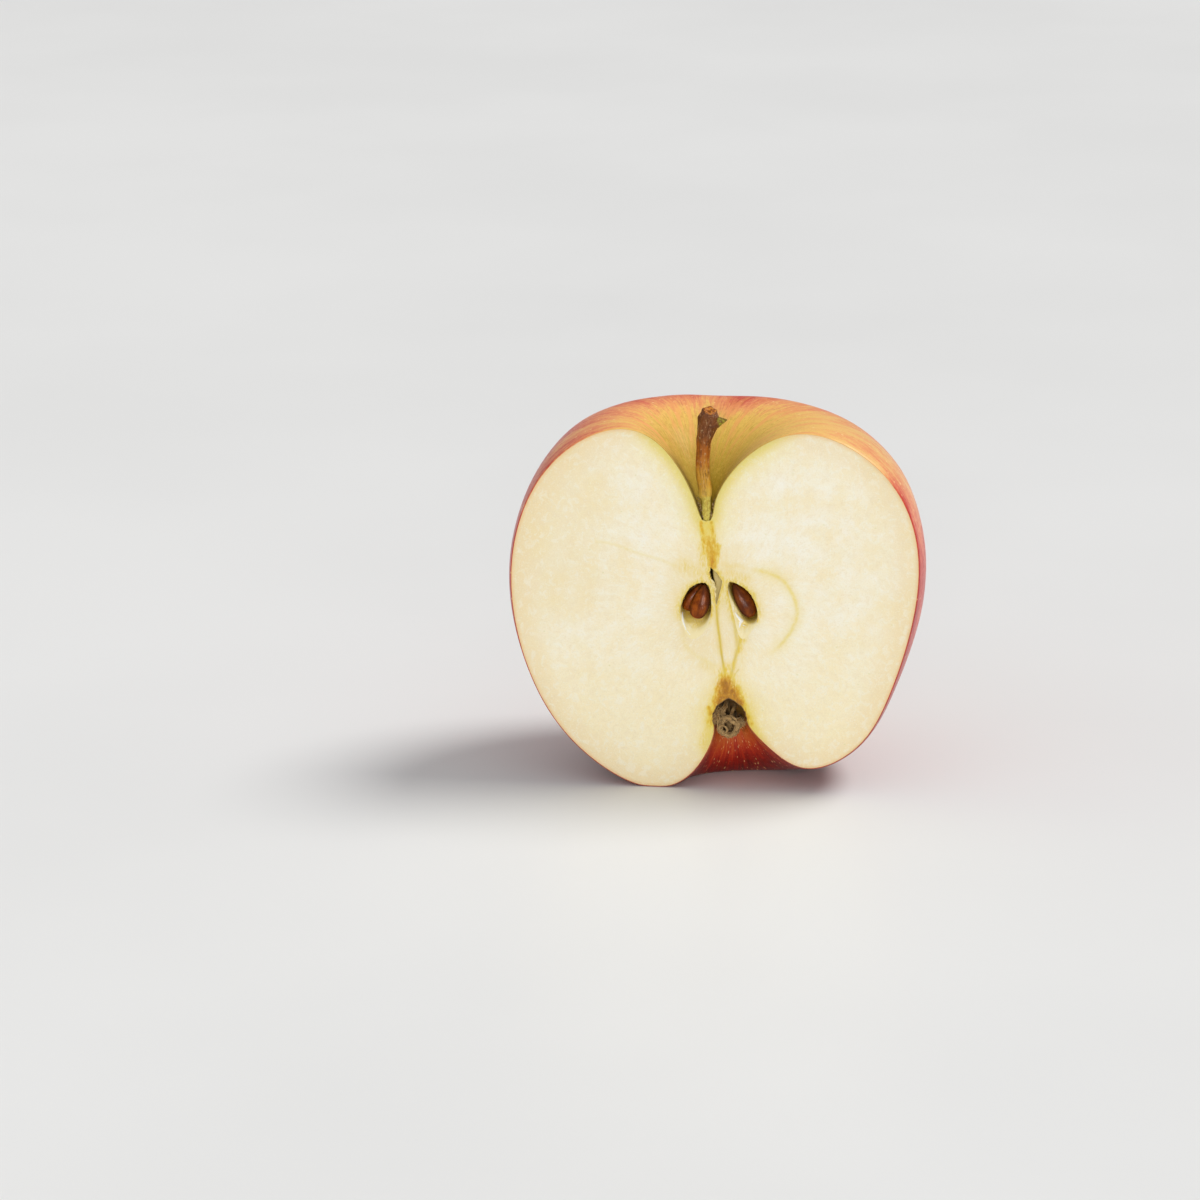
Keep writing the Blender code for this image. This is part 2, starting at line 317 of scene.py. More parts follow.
class Look:
    """A material with short names for its nodes. Colours are sRGB, 0 to 255; with a fourth number, linear."""

    def __init__(self, name):
        self.mat = bpy.data.materials.new(name)
        self.mat.use_nodes = True
        self.tree = self.mat.node_tree
        self.colour = self.normal = None

    def link(self, value, socket):
        if isinstance(value, Value):
            self.tree.links.new(value.socket, socket)
        elif value is not None:
            socket.default_value = value

    def node(self, kind, inputs, output=0, **settings):
        n = self.tree.nodes.new("ShaderNode" + kind)
        for key, value in settings.items():
            setattr(n, key, value)
        for key, value in inputs.items():
            self.link(value, n.inputs[key])
        return Value(self, n.outputs[output])

    def fields(self, names):
        return [self.node("Attribute", {}, "Fac", attribute_name=name) for name in names.split()]

    def vector(self, name):
        return self.node("Attribute", {}, "Vector", attribute_name=name)

    def part(self, vector, which):
        return self.node("SeparateXYZ", {0: vector}, which)

    def math(self, op, a, b):
        return self.node("Math", {0: a, 1: b}, operation=op)

    def scale(self, vector, by):
        return self.node("VectorMath", {0: vector, 1: by}, operation='MULTIPLY')

    def join(self, x, y, z):
        return self.node("CombineXYZ", {0: x, 1: y, 2: z})

    def noise(self, vector, scale, detail=2.0, rough=0.5, distort=0.0):
        return self.node("TexNoise", {"Vector": vector, "Scale": scale, "Detail": detail, "Roughness": rough,
                                      "Distortion": distort}, "Fac")

    def lengthwise(self, turns, run, detail, rough, distort, spin=0.0):
        """Noise in long lines along a seed, the stalk or a sepal."""
        turn = self.scale(self.vector("turn"), (turns, turns, spin))
        shift = self.join(0.0, 0.0, self.fields("t")[0] * run)
        where = self.node("VectorMath", {0: turn, 1: shift}, operation='ADD')
        return self.noise(where, 1.0, detail, rough, distort)

    def cells(self, vector, scale=1.0):
        return self.node("TexVoronoi", {"Vector": vector, "Scale": scale}, "Distance")

    def span(self, value, lo, hi, to=1.0, start=0.0):
        """A soft step from start, where value is lo, up or down to the other end, where it is hi."""
        return self.node("MapRange", {0: value, 1: lo, 2: hi, 3: start, 4: to}, interpolation_type='SMOOTHSTEP')

    def mix(self, factor, a, b, blend='MIX'):
        a, b = ((*linear(c).tolist(), 1.0) if isinstance(c, tuple) and len(c) == 3 else c for c in (a, b))
        return self.node("Mix", {0: factor, 6: a, 7: b}, 2, data_type='RGBA', blend_type=blend)

    def over(self, factor, colour, blend='MIX'):
        """Lay a colour over what is there."""
        self.colour = self.mix(factor, self.colour, colour, blend)

    def layers(self, *rows):
        """Lay on colours, each where a value goes from one number to the next, up to a strength."""
        for value, lo, hi, power, colour in rows:
            self.over(self.span(value, lo, hi, power), colour)

    def bump(self, height, depth_mm, strength):
        """Add relief to what is there."""
        self.normal = self.node("Bump", {"Strength": strength, "Distance": depth_mm * MM, "Height": height,
                                         "Normal": self.normal})

    def finish(self, rough, **fixed):
        fixed.update(Base_Color=self.colour, Roughness=rough, Normal=self.normal)
        shader = self.tree.nodes["Principled BSDF"]
        for key, value in fixed.items():
            self.link(value, shader.inputs[key.replace("_", " ")])
        return self.mat


# how red the skin is, from and to; the colour on the sides, and in the eye basin
REDS = [(0.12, 0.42, (237, 153, 98), (222, 116, 44)), (0.34, 0.66, (226, 114, 86), (206, 76, 30)),
        (0.56, 0.86, (208, 66, 52), (186, 42, 18)), (0.80, 1.12, (186, 34, 34), (142, 17, 6)),
        (1.10, 1.50, (156, 18, 22), (94, 6, 2))]


def skin_look():
    k = Look("apple_skin")
    blush, st = k.fields("blush station")
    pos, along = k.vector("place"), k.vector("along")
    phi, arc, rim = (k.part(along, i) for i in range(3))      # azimuth, arc length in mm, cut edge
    phi_w = (k.noise(pos, 0.05, 2.0) - 0.5) * 0.16 + phi

    def stroke(turns, run, seed, detail, rough=0.6, wobble=0.0):
        return k.noise(k.join(phi_w * turns, arc * run, seed), 1.0, detail, rough, wobble)

    broad, band = stroke(4.5, 0.03, 0.0, 2.0), stroke(13.0, 0.06, 3.0, 3.0, 0.65, 0.15)
    streak, fine = stroke(34.0, 0.16, 5.0, 3.0, 0.65, 0.3), stroke(90.0, 0.45, 7.0, 2.0, 0.6, 0.3)
    grain, dust = k.noise(pos, 1.4, 4.0, 0.7, 0.2), k.noise(pos, 4.5, 2.0, 0.6)
    red = blush
    for wave, power in ((broad, 0.9), (band, 0.95), (streak, 0.9), (fine, 0.55), (grain, 0.45), (dust, 0.25)):
        red = (wave - 0.5) * power + red
    red = red * k.span(st, 3.0, 4.0)
    low = k.span(st, 6.0, 9.6)
    k.colour = k.vector("ground")
    for lo, hi, upper, lower in REDS:
        k.over(k.span(red, lo, hi, 0.9), k.mix(low, upper, lower))
    k.layers((dust, 0.56, 0.74, 0.20, (246, 188, 110)), (dust, 0.44, 0.28, 0.22, (120, 40, 12)))
    # the wall of the pit: olive and yellow streaks, orange ones further up, green at the foot
    mottle = (fine - 0.5) * 0.8 + (grain * 0.6 + streak * 0.4)
    wall = k.span(st, 4.3, 3.3)
    k.over(wall * k.span(mottle, 0.46, 0.70, 0.5), (172, 134, 36))
    k.over(wall * k.span(mottle, 0.52, 0.32, 0.45), (240, 204, 98))
    warm = k.span(band, 0.44, 0.60, 0.6) * k.span(st, 2.2, 3.4)
    k.over(k.span(st, 4.8, 3.6) * warm, (240, 164, 94))
    k.over(k.span(st + grain * 1.2, 4.2, 3.0) * k.span(dust, 0.45, 0.65, 0.65, 0.2), (158, 138, 30))
    # pale dots, with a larger kind in the eye basin
    halo = 0.0
    for turns, run, seed, size, small in ((8.0, 0.30, 0.0, 0.11, 0.0495), (15.0, 0.55, 0.0, 0.15, 0.0675),
                                          (10.0, 0.40, 4.0, 0.17, 0.08)):
        dots = k.span(k.cells(k.join(phi * turns, arc * run, seed)), size, small)
        halo = k.math('MAXIMUM', halo, dots * k.span(st, 9.3, 9.8) if seed else dots)
    halo = halo * (k.span(st, 3.0, 4.4) * k.span(st, 11.4, 11.0))
    k.over(halo * 0.8, (250, 212, 146))
    edge = k.mix(k.span(red, 0.3, 0.9), (246, 196, 110), (218, 92, 48))
    edge = k.mix(k.span(st, 4.0, 3.2), edge, (196, 166, 60))
    edge = k.mix(k.span(st, 10.8, 11.4), edge, (170, 128, 50))
    share = k.math('MAXIMUM', k.span(st, 8.5, 10.0, 0.3, 0.75), k.span(st, 10.9, 11.5, 0.9))
    k.over(rim * share, edge)
    # darker towards the eye basin: partly a deeper red, partly painted shade
    k.over(k.span(st, 9.5, 10.2, 0.5), (0.66, 0.42, 0.38, 1.0), 'MULTIPLY')
    k.bump(k.noise(pos, 0.8, 3.0), 0.06, 0.5)
    k.bump(dust - halo * 0.8, 0.025, 0.5)
    return k.finish(k.span(grain, 0.3, 0.7, 0.42, 0.30) + k.span(st, 4.8, 3.4, 0.34),
                    Subsurface_Weight=0.10, Subsurface_Scale=0.002, Subsurface_Radius=(1.0, 0.6, 0.4),
                    Coat_Weight=0.08, Coat_Roughness=0.28, Specular_IOR_Level=0.32, Sheen_Weight=0.06,
                    Sheen_Roughness=0.4)


def flesh_look():
    k = Look("apple_flesh")
    pos = k.vector("place")
    edge, pit, amber, brown, vein, thread, core, low = k.fields("edge pit amber brown vein thread core low")
    cloud, grain = k.noise(pos, 0.15, 3.0, 0.55), k.noise(pos, 2.0, 4.0, 0.65, 0.3)
    pores = k.noise(pos, 3.4, 3.0, 0.6)
    fibre = k.noise(k.scale(k.vector("polar"), (22.0, 22.0, 0.7)), 1.0, 3.0, 0.6, 0.8)
    k.colour = k.mix(k.span(cloud, 0.32, 0.7), (255, 246, 226), (253, 237, 200))
    k.over(low * 0.8, (255, 238, 196))
    k.over(core * 0.55, (242, 222, 166))
    near = k.span((cloud - 0.5) * 3.0 + edge, 0.0, 7.0, 0.0, 1.0)
    k.over(near * 0.6, k.mix(pit, (243, 219, 168), (242, 226, 138)))
    k.layers((fibre, 0.50, 0.66, 0.34, (255, 250, 238)), (fibre, 0.48, 0.34, 0.30, (244, 226, 190)),
             (grain, 0.50, 0.74, 0.38, (240, 224, 190)), (pores, 0.54, 0.72, 0.42, (232, 217, 184)),
             (pores, 0.46, 0.30, 0.42, (255, 252, 240)))
    close = k.span((grain - 0.5) * 0.9 + edge, 0.0, pit * 1.9 + 0.9, 0.0, 1.0)
    k.over(close * 0.66, k.mix(pit, (248, 208, 142), (230, 208, 70)))
    fleck = k.span(k.cells(k.scale(pos, (0.22, 0.22, 0.34))), 0.02, 0.07, 0.0, 1.0)
    k.over(fleck * 0.3, (212, 204, 116))
    blot = k.noise(pos, 0.9, 4.0, 0.65)
    k.over(vein * k.span(blot, 0.2, 0.6, 0.9, 0.5), (238, 216, 108))
    k.over(thread, (212, 184, 58))
    # stains, with ragged edges that run up and down
    ragged = k.noise(k.scale(pos, (1.9, 1.0, 0.7)), 1.1, 4.0, 0.62, 0.4) - 0.5
    a = ragged * k.span(amber, 0.05, 0.6, 1.9) + amber
    b = ragged * k.span(brown, 0.05, 0.6, 1.7) + brown
    k.layers((a, 0.0, 0.6, 0.9, (236, 208, 76)), (a, 0.45, 0.95, 0.9, (222, 172, 22)),
             (a, 0.9, 1.3, 0.85, (206, 140, 12)), (b, 0.15, 0.6, 0.95, (212, 152, 26)),
             (b, 0.5, 0.95, 0.85, (176, 116, 20)), (b, 0.95, 1.3, 0.85, (138, 84, 10)))
    crumb = k.span(k.cells(pos, 1.3), 0.22, 0.08)
    k.over(crumb * k.span(brown, 0.3, 0.6, 0.55), (238, 206, 124))
    k.bump(fibre * 0.6 + grain, 0.11, 0.6)
    k.bump(pores, 0.04, 0.5)
    k.bump((crumb + blot) * k.math('MAXIMUM', brown, amber * 0.4), 0.35, 0.7)
    return k.finish(k.span(grain, 0.3, 0.7, 0.55, 0.36), Subsurface_Weight=0.3, Subsurface_Scale=0.0015,
                    Subsurface_Radius=(1.0, 0.85, 0.65), Specular_IOR_Level=0.35)


def membrane_look():
    k = Look("core_membrane")
    pos = k.vector("place")
    depth, shine = k.fields("depth shine")
    cloud, fibre = k.noise(pos, 0.6, 3.0, 0.6), k.noise(k.scale(pos, (1.6, 1.0, 0.5)), 1.5, 3.0, 0.6, 0.4)
    # the membrane's own cream and yellow, with painted shade turning it brown deeper down in the chambers
    k.colour = k.mix(k.span(depth, 0.05, 0.9), (248, 232, 178), (242, 214, 120))
    k.layers((depth, 0.9, 2.6, 1.0, (228, 184, 72)), (depth, 2.6, 5.5, 1.0, (140, 88, 22)))
    wet = k.span(depth, 0.08, 0.6)
    k.over(wet * k.span(cloud, 0.4, 0.7, 0.5), (238, 210, 100))
    k.over(k.span(fibre, 0.52, 0.7, 0.35), (255, 246, 214))
    # painted highlight: white glints on the raised wet ridges
    painted_glint = shine + (k.noise(pos, 2.6, 2.0) - 0.5) * 1.1
    k.over(k.span(painted_glint, 0.34, 0.7) * k.span(shine, 0.05, 0.25), (255, 253, 244))
    k.bump(fibre, 0.14, 0.5)
    k.bump(cloud * wet, 0.20, 0.5)
    return k.finish(k.span(depth, 0.1, 0.6, 0.2, 0.45), Specular_IOR_Level=0.35)


def slit_look():
    k = Look("core_slit")
    depth, = k.fields("depth")
    grain = k.noise(k.scale(k.vector("place"), (2.0, 1.0, 0.5)), 2.0, 3.0, 0.6)
    # painted shade: tan turning near black deep in the crack
    k.colour = k.mix(k.span(depth, 0.8, 1.6), (198, 176, 110), (44, 30, 8))
    k.layers((grain, 0.45, 0.7, 0.4, (160, 138, 72)), (depth, 0.35, 0.05, 1.0, (240, 226, 180)))
    k.bump(grain, 0.08, 0.6)
    return k.finish(0.4, Specular_IOR_Level=0.3)


def seed_look():
    k = Look("seed_coat")
    pos = k.vector("place")
    t, side = k.fields("t mark")
    lines = k.lengthwise(3.4, 1.5, 3.0, 0.6, 0.3)
    cloud, grain = k.noise(pos, 0.8, 3.0, 0.6), k.noise(pos, 6.0, 3.0, 0.6)
    k.colour = k.mix(k.span(cloud, 0.3, 0.7), (110, 45, 3), (160, 79, 12))
    # the row on side (the mark) is painted shade on the sides of each seed
    k.layers((lines, 0.46, 0.66, 0.6, (82, 30, 2)), (t, 0.35, 0.0, 0.8, (40, 15, 2)),
             (side, 0.55, 1.0, 0.75, (44, 16, 2)), (grain, 0.55, 0.75, 0.3, (186, 104, 40)),
             (k.part(pos, 0), 0.0, 3.0, 0.4, (52, 20, 2)))       # painted shade: the right seed is darker
    k.bump(lines, 0.06, 0.45)
    k.bump(grain, 0.02, 0.5)
    return k.finish(k.span(grain, 0.3, 0.7, 0.38, 0.26), Coat_Weight=0.12, Coat_Roughness=0.08,
                    Specular_IOR_Level=0.10)


def stem_look():
    k = Look("stalk_bark")
    pos = k.vector("place")
    t, mark = k.fields("t mark")                 # up the stalk, and how much of the stub's green
    lines = k.lengthwise(2.2, 6.0, 4.0, 0.7, 0.4)
    cloud, bits = k.noise(pos, 0.55, 3.0, 0.6), k.noise(k.scale(pos, (1.0, 1.0, 0.55)), 2.4, 3.0, 0.7)
    t_w = (cloud - 0.5) * 0.3 + t
    k.colour = k.mix(k.span(t_w, 0.20, 0.42), (222, 184, 76), (206, 148, 46))
    k.layers((t_w, 0.42, 0.62, 1.0, (176, 98, 20)), (t_w, 0.62, 0.84, 1.0, (122, 68, 26)))
    k.over(k.span(t, 0.25, 0.225), k.mix(k.span(bits, 0.4, 0.6), (232, 214, 104), (206, 178, 66)))
    k.over(k.span(lines, 0.46, 0.64) * k.span(t, 0.2, 0.5, 0.8, 0.3), (76, 36, 8))
    k.over(k.span(bits, 0.56, 0.68) * k.span(t, 0.24, 0.3, 0.5, 0.2), (206, 168, 116))
    k.over(k.span(bits, 0.40, 0.28, 0.6), (60, 30, 8))
    k.over(k.span(mark, 0.4, 0.9), k.mix(k.span(bits, 0.42, 0.6), (156, 146, 40), (120, 88, 26)))
    k.over(k.span(t, 1.0, 1.02), k.mix(k.span(bits, 0.36, 0.6), (222, 142, 48), (140, 68, 16)))
    k.bump(lines, 0.30, 0.8)
    k.bump(bits, 0.18, 0.7)
    return k.finish(k.span(bits, 0.35, 0.7, 0.36, 0.55), Specular_IOR_Level=0.25)


def calyx_look():
    k = Look("dried_calyx")
    pos = k.vector("place")
    t, pale = k.fields("t mark")
    lines = k.lengthwise(4.0, 3.0, 3.0, 0.65, 0.3, 1.0)
    cloud, bits = k.noise(pos, 1.0, 3.0, 0.6), k.noise(pos, 4.0, 3.0, 0.7)
    k.colour = k.mix(k.span(cloud, 0.3, 0.7), (164, 118, 58), (222, 182, 120))
    k.layers((lines, 0.45, 0.60, 0.85, (62, 34, 6)), (bits, 0.55, 0.7, 0.5, (214, 172, 110)),
             (k.part(pos, 1), -2.7, -0.8, 0.8, (92, 58, 8)))     # painted shade: darker further back inside the hollow
    k.over(pale * 0.75, (216, 180, 124))
    k.layers((t, 0.4, 0.0, 0.75, (80, 58, 14)))
    k.bump(lines, 0.18, 0.8)
    k.bump(bits, 0.10, 0.6)
    return k.finish(0.7, Specular_IOR_Level=0.2, Sheen_Weight=0.1)


# ---------------------------------------------------------------- the body

KEYS = [(*a, *b, *c) for a, b, c in zip(LEFT_EDGE, RIGHT_EDGE, BACK_EDGE)]
STATIONS = spline(KEYS, SPAN_STEPS)
STATION_NO = np.linspace(0, len(KEYS) - 1, len(STATIONS))
crumbling = np.interp(STATION_NO, [11.2, 11.8, 13.6, 13.95], [0.0, 0.07, 0.07, 0.0])    # edge of the eye hollow
STATIONS[:, 0] += crumbling * (np.sin(9 * STATION_NO) + 0.6 * np.sin(21 * STATION_NO + 1))
STATIONS[:, 2] += crumbling * (np.sin(11 * STATION_NO + 2) + 0.6 * np.sin(24 * STATION_NO))


def table(x, stops):
    """Smooth look-up of values or colours in a short list of (place, value)."""
    xs = np.array([s[0] for s in stops], float)
    ys = np.array([np.atleast_1d(s[1]) for s in stops], float)
    cols = [np.interp(x, xs, ys[:, c]) for c in range(ys.shape[1])]
    return np.stack(cols, -1) if len(cols) > 1 else cols[0]


# colour under the red, by station; the darkening towards the bottom of the stalk's pit, stations 0 to 1.2, is
# painted shade
GROUND = [(0, (116, 92, 22)), (1.2, (148, 122, 30)), (2.2, (190, 160, 44)), (3.0, (220, 182, 72)),
          (3.7, (240, 190, 97)), (4.6, (240, 191, 114)), (5.6, (245, 198, 136)), (7.0, (238, 178, 104)),
          (9.0, (222, 140, 54)), (10.2, (194, 98, 26)), (11.0, (160, 92, 22)), (11.7, (150, 122, 48)),
          (12.4, (126, 102, 42)), (14, (96, 76, 28))]
# how red the skin is, by station, at the right edge, the back and the left edge
BLUSH_RIGHT = [(0, 0), (2.4, 0.0), (3.2, 0.05), (4.2, 0.12), (4.9, 0.26), (5.3, 0.55), (6.0, 0.9), (8, 1.1),
               (9.5, 1.15), (10.1, 0.8), (10.6, 0.45), (11.1, 0.15), (11.7, 0.0), (14, 0.0)]
BLUSH_BACK = [(0, 0), (2.4, 0.0), (3.1, 0.14), (3.8, 0.42), (4.4, 0.72), (5.2, 0.95), (6.2, 1.0), (8, 1.1),
              (9.2, 1.3), (9.9, 1.35), (10.2, 1.05), (10.5, 0.65), (10.9, 0.3), (11.5, 0.0), (14, 0.0)]
BLUSH_LEFT = [(0, 0), (2.4, 0.0), (3.1, 0.10), (4.0, 0.30), (4.8, 0.50), (5.5, 0.80), (6.5, 1.25), (8, 1.3),
              (9.5, 1.2), (10.1, 0.8), (10.6, 0.45), (11.1, 0.15), (11.7, 0.0), (14, 0.0)]


def outline_loop():
    """Edge of the cut face, counter-clockwise from the pit: left edge down, right edge up."""
    left, right = STATIONS[:, 0:2], STATIONS[:, 2:4]
    loop = np.concatenate([left, right[::-1][1:-1]])
    numbers = np.concatenate([STATION_NO, STATION_NO[::-1][1:-1]])
    loop = np.stack([loop[:, 0], np.zeros(len(loop)), loop[:, 1]], -1)
    loop = rest_on_floor(loop)[:, [0, 2]]
    t = unit(np.roll(loop, -1, 0) - np.roll(loop, 1, 0))
    inward = np.stack([-t[:, 1], t[:, 0]], -1)
    return loop, inward, numbers


def build_skin(material):
    angles = np.linspace(0, math.pi, RING_STEPS + 1)
    p = rings(STATIONS, angles)
    n_row, n_col = p.shape[:2]
    step = np.linalg.norm(np.diff(p, axis=0), axis=-1)
    arc = np.concatenate([np.zeros((1, n_col)), np.cumsum(step, 0)])
    phi = np.broadcast_to(angles, (n_row, n_col))
    st = np.broadcast_to(STATION_NO[:, None], (n_row, n_col))
    nrm = unit(np.cross(np.gradient(p, axis=0), np.gradient(p, axis=1)))
    middle = np.array([0.5, 14.0, -2.0])
    nrm *= np.sign((nrm * (p - middle)).sum(-1))[..., None]
    # gentle waves, fading out at the cut, in the pit and towards the eye
    free = smooth(np.sin(phi), 0.05, 0.45) * smooth(st, 3.0, 4.5) * smooth(st, 9.6, 8.4)
    p = p + nrm * (waves(p, 0.11) * 0.30 + waves(p, 0.27, 2.0) * 0.10 - 0.2)[..., None] * free[..., None]
    p = rest_on_floor(p)

    inward = outline_loop()[1]
    left_in = inward[:n_row]
    right_in = np.concatenate([inward[:1], inward[n_row:][::-1], inward[n_row - 1:n_row]])

    def rim(edge, into, depth, lift):
        q = edge.copy()
        q[:, 0] += into[:, 0] * depth
        q[:, 2] += into[:, 1] * depth
        q[:, 1] = lift
        return q[:, None]

    right, left = p[:, 0], p[:, -1]
    full = np.concatenate([rim(right, right_in, SKIN_THICK, -0.02), rim(right, right_in, 0.07, -0.04), p,
                           rim(left, left_in, 0.07, -0.04), rim(left, left_in, SKIN_THICK, -0.02)], 1)

    def pad(x):
        return np.concatenate([x[:, :1]] * 2 + [x] + [x[:, -1:]] * 2, 1)

    phi_f, arc_f, st_f = pad(phi), pad(arc), pad(st)
    rim_f = np.concatenate([np.ones((n_row, 2)), np.zeros((n_row, n_col)), np.ones((n_row, 2))], 1)
    ground = linear(table(st_f, GROUND))
    x = phi_f / math.pi
    right_w, left_w = smooth(x, 0.45, 0.06), smooth(x, 0.72, 0.97)
    shares = ((BLUSH_RIGHT, right_w), (BLUSH_BACK, 1 - right_w - left_w), (BLUSH_LEFT, left_w))
    blush = sum(table(st_f, stops) * share for stops, share in shares)
    # a golden patch on the back, more red beside the cut and on the far rim, painted shade on the left wall of
    # the pit
    blush = blush - 0.6 * bell(phi_f - 1.15, 0.26) * smooth(st_f, 4.6, 5.6) * smooth(st_f, 9.0, 7.6)
    blush = blush + 0.3 * bell(phi_f, 0.05) * smooth(st_f, 4.9, 5.3) * smooth(st_f, 9.5, 8.0)
    blush = blush + 0.35 * bell(phi_f - 1.38, 0.14) * smooth(st_f, 3.3, 3.9) * smooth(st_f, 5.2, 4.6)
    # painted shade: the left wall of the pit made darker and less blue
    ground = ground * (1 - (smooth(x, 0.5, 0.8) * smooth(st_f, 4.0, 3.0))[..., None] * (0.20, 0.25, 0.44))
    flat = full.reshape(-1, 3)
    return make("skin", world(flat), grid_faces(n_row, n_col + 4), material,
                {"ground": ground.reshape(-1, 3), "blush": blush.ravel(), "station": st_f.ravel(),
                 "along": np.stack([phi_f, arc_f, rim_f], -1).reshape(-1, 3), "place": flat}, sharp=60)


def lattice(lo, hi, pitch, rnd):
    """Staggered points over a rectangle, a little uneven."""
    us, vs = np.arange(lo[0], hi[0], pitch), np.arange(lo[1], hi[1], pitch * 0.87)
    g = np.stack(np.meshgrid(us, vs), -1)
    g[1::2, :, 0] += pitch / 2
    return g.reshape(-1, 2) + rnd.uniform(-0.18, 0.18, (len(us) * len(vs), 2)) * pitch


def fill(loops, pts):
    """Triangles over the first loop, less the others, through all the points."""
    edges, base = [], 0
    for loop in loops:
        edges += [(base + i, base + (i + 1) % len(loop)) for i in range(len(loop))]
        base += len(loop)
    every = np.concatenate(list(loops) + [pts])
    out = delaunay_2d_cdt([Vector(q) for q in every], edges, [], 0, 1e-6)
    verts = np.array([tuple(q) for q in out[0]])
    tris = np.array([f for f in out[2] if len(f) == 3])
    mid = verts[tris].mean(1)
    keep = inside(mid, loops[0])
    for loop in loops[1:]:
        keep &= ~inside(mid, loop)
    return verts, tris[keep]


def beside(line, offsets, pitch):
    """Rows of points along a curve, so that a thin mark on it has mesh to lie on."""
    curve = spline(line, 24)
    step = np.r_[0, np.cumsum(np.linalg.norm(np.diff(curve, axis=0), axis=1))]
    at = np.arange(0, step[-1], pitch)
    p = np.stack([np.interp(at, step, curve[:, c]) for c in (0, 1)], -1)
    t = unit(np.gradient(p, axis=0))
    n = np.stack([-t[:, 1], t[:, 0]], -1)
    return np.concatenate([p + n * o for o in offsets])


def spread(pts, marks):
    """Strength at each point of soft marks: (from, to, half width at each end, power)."""
    out = np.zeros(len(pts))
    for a, b, wide_a, wide_b, power in marks:
        d, t = distance(pts, [a, b], closed=False)
        out = np.maximum(out, power * bell(d, wide_a + (wide_b - wide_a) * t))
    return out


AMBER = [((-1.9, 13.2), (-1.5, 10.0), 1.2, 1.4, 0.36), ((-2.9, 13.6), (-2.3, 9.6), 0.42, 0.6, 0.8),
         ((-0.9, 13.6), (-0.3, 9.6), 0.42, 0.6, 0.8), ((-1.2, 9.8), (-0.7, 5.2), 1.45, 1.0, 0.85),
         ((-0.8, 7.4), (-0.5, 4.9), 1.2, 0.9, 1.1), ((-0.9, 4.6), (-1.0, 2.2), 0.8, 0.5, 0.7),
         ((0.2, 8.8), (0.0, 5.6), 0.9, 0.7, 0.8), ((-1.4, 11.5), (-0.5, 5.5), 2.8, 3.6, 0.24),
         ((0.2, 5.4), (5.2, 4.8), 1.3, 1.0, 0.24), ((-1.3, 4.4), (-3.0, 1.9), 0.9, 0.7, 0.32),
         ((3.2, 1.6), (1.6, 4.4), 0.7, 1.2, 0.2), ((-7.0, 5.0), (-1.8, 5.4), 1.0, 1.8, 0.16),
         ((2.6, -16.6), (3.2, -24.0), 2.4, 5.4, 0.45), ((5.0, -9.0), (4.2, -14.0), 0.9, 0.6, 0.3),
         ((4.2, -14.0), (3.2, -18.0), 0.6, 1.2, 0.4), ((3.8, -4.5), (4.7, -10.0), 0.6, 0.8, 0.3),
         ((2.5, -18.0), (2.9, -22.5), 1.9, 3.4, 0.75), ((6.8, -27.0), (4.6, -19.8), 1.5, 1.0, 0.8),
         ((-0.3, -27.0), (1.0, -19.8), 1.2, 0.85, 0.75), ((-0.8, -24.0), (-0.5, -25.2), 0.5, 0.6, 1.0),
         ((-2.0, -31.5), (-0.6, -26.4), 1.3, 1.5, 0.30), ((8.4, -30.5), (7.2, -26.0), 1.5, 1.7, 0.36),
         ((-7.2, -5.5), (-5.6, -9.6), 0.7, 0.8, 0.2), ((-6.4, 4.6), (-2.6, 3.2), 2.6, 2.2, 0.28),
         ((2.8, 3.4), (6.0, 2.4), 1.5, 1.5, 0.3), ((-2.9, 9.0), (-2.4, 5.0), 1.0, 1.2, 0.36),
         ((0.3, -3.4), (1.3, -12.6), 1.1, 0.9, 0.26), ((5.6, -9.4), (4.9, -12.2), 1.3, 0.9, 0.42),
         ((5.2, -12.0), (4.4, -18.0), 1.8, 2.0, 0.22), ((-1.8, -15.2), (1.0, -17.2), 1.6, 1.3, 0.24),
         ((3.4, -17.4), (6.0, -21.4), 1.1, 1.4, 0.34), ((-2.5, 9.2), (-2.2, 7.2), 0.35, 0.4, 0.8)]
BROWN = [((2.4, -19.4), (2.9, -22.6), 1.8, 2.9, 0.8), ((2.3, -18.9), (2.5, -20.8), 1.25, 1.4, 0.95),
         ((2.0, -20.6), (1.2, -22.8), 0.9, 0.8, 0.85), ((3.6, -20.4), (5.3, -22.8), 0.9, 0.8, 0.85)]


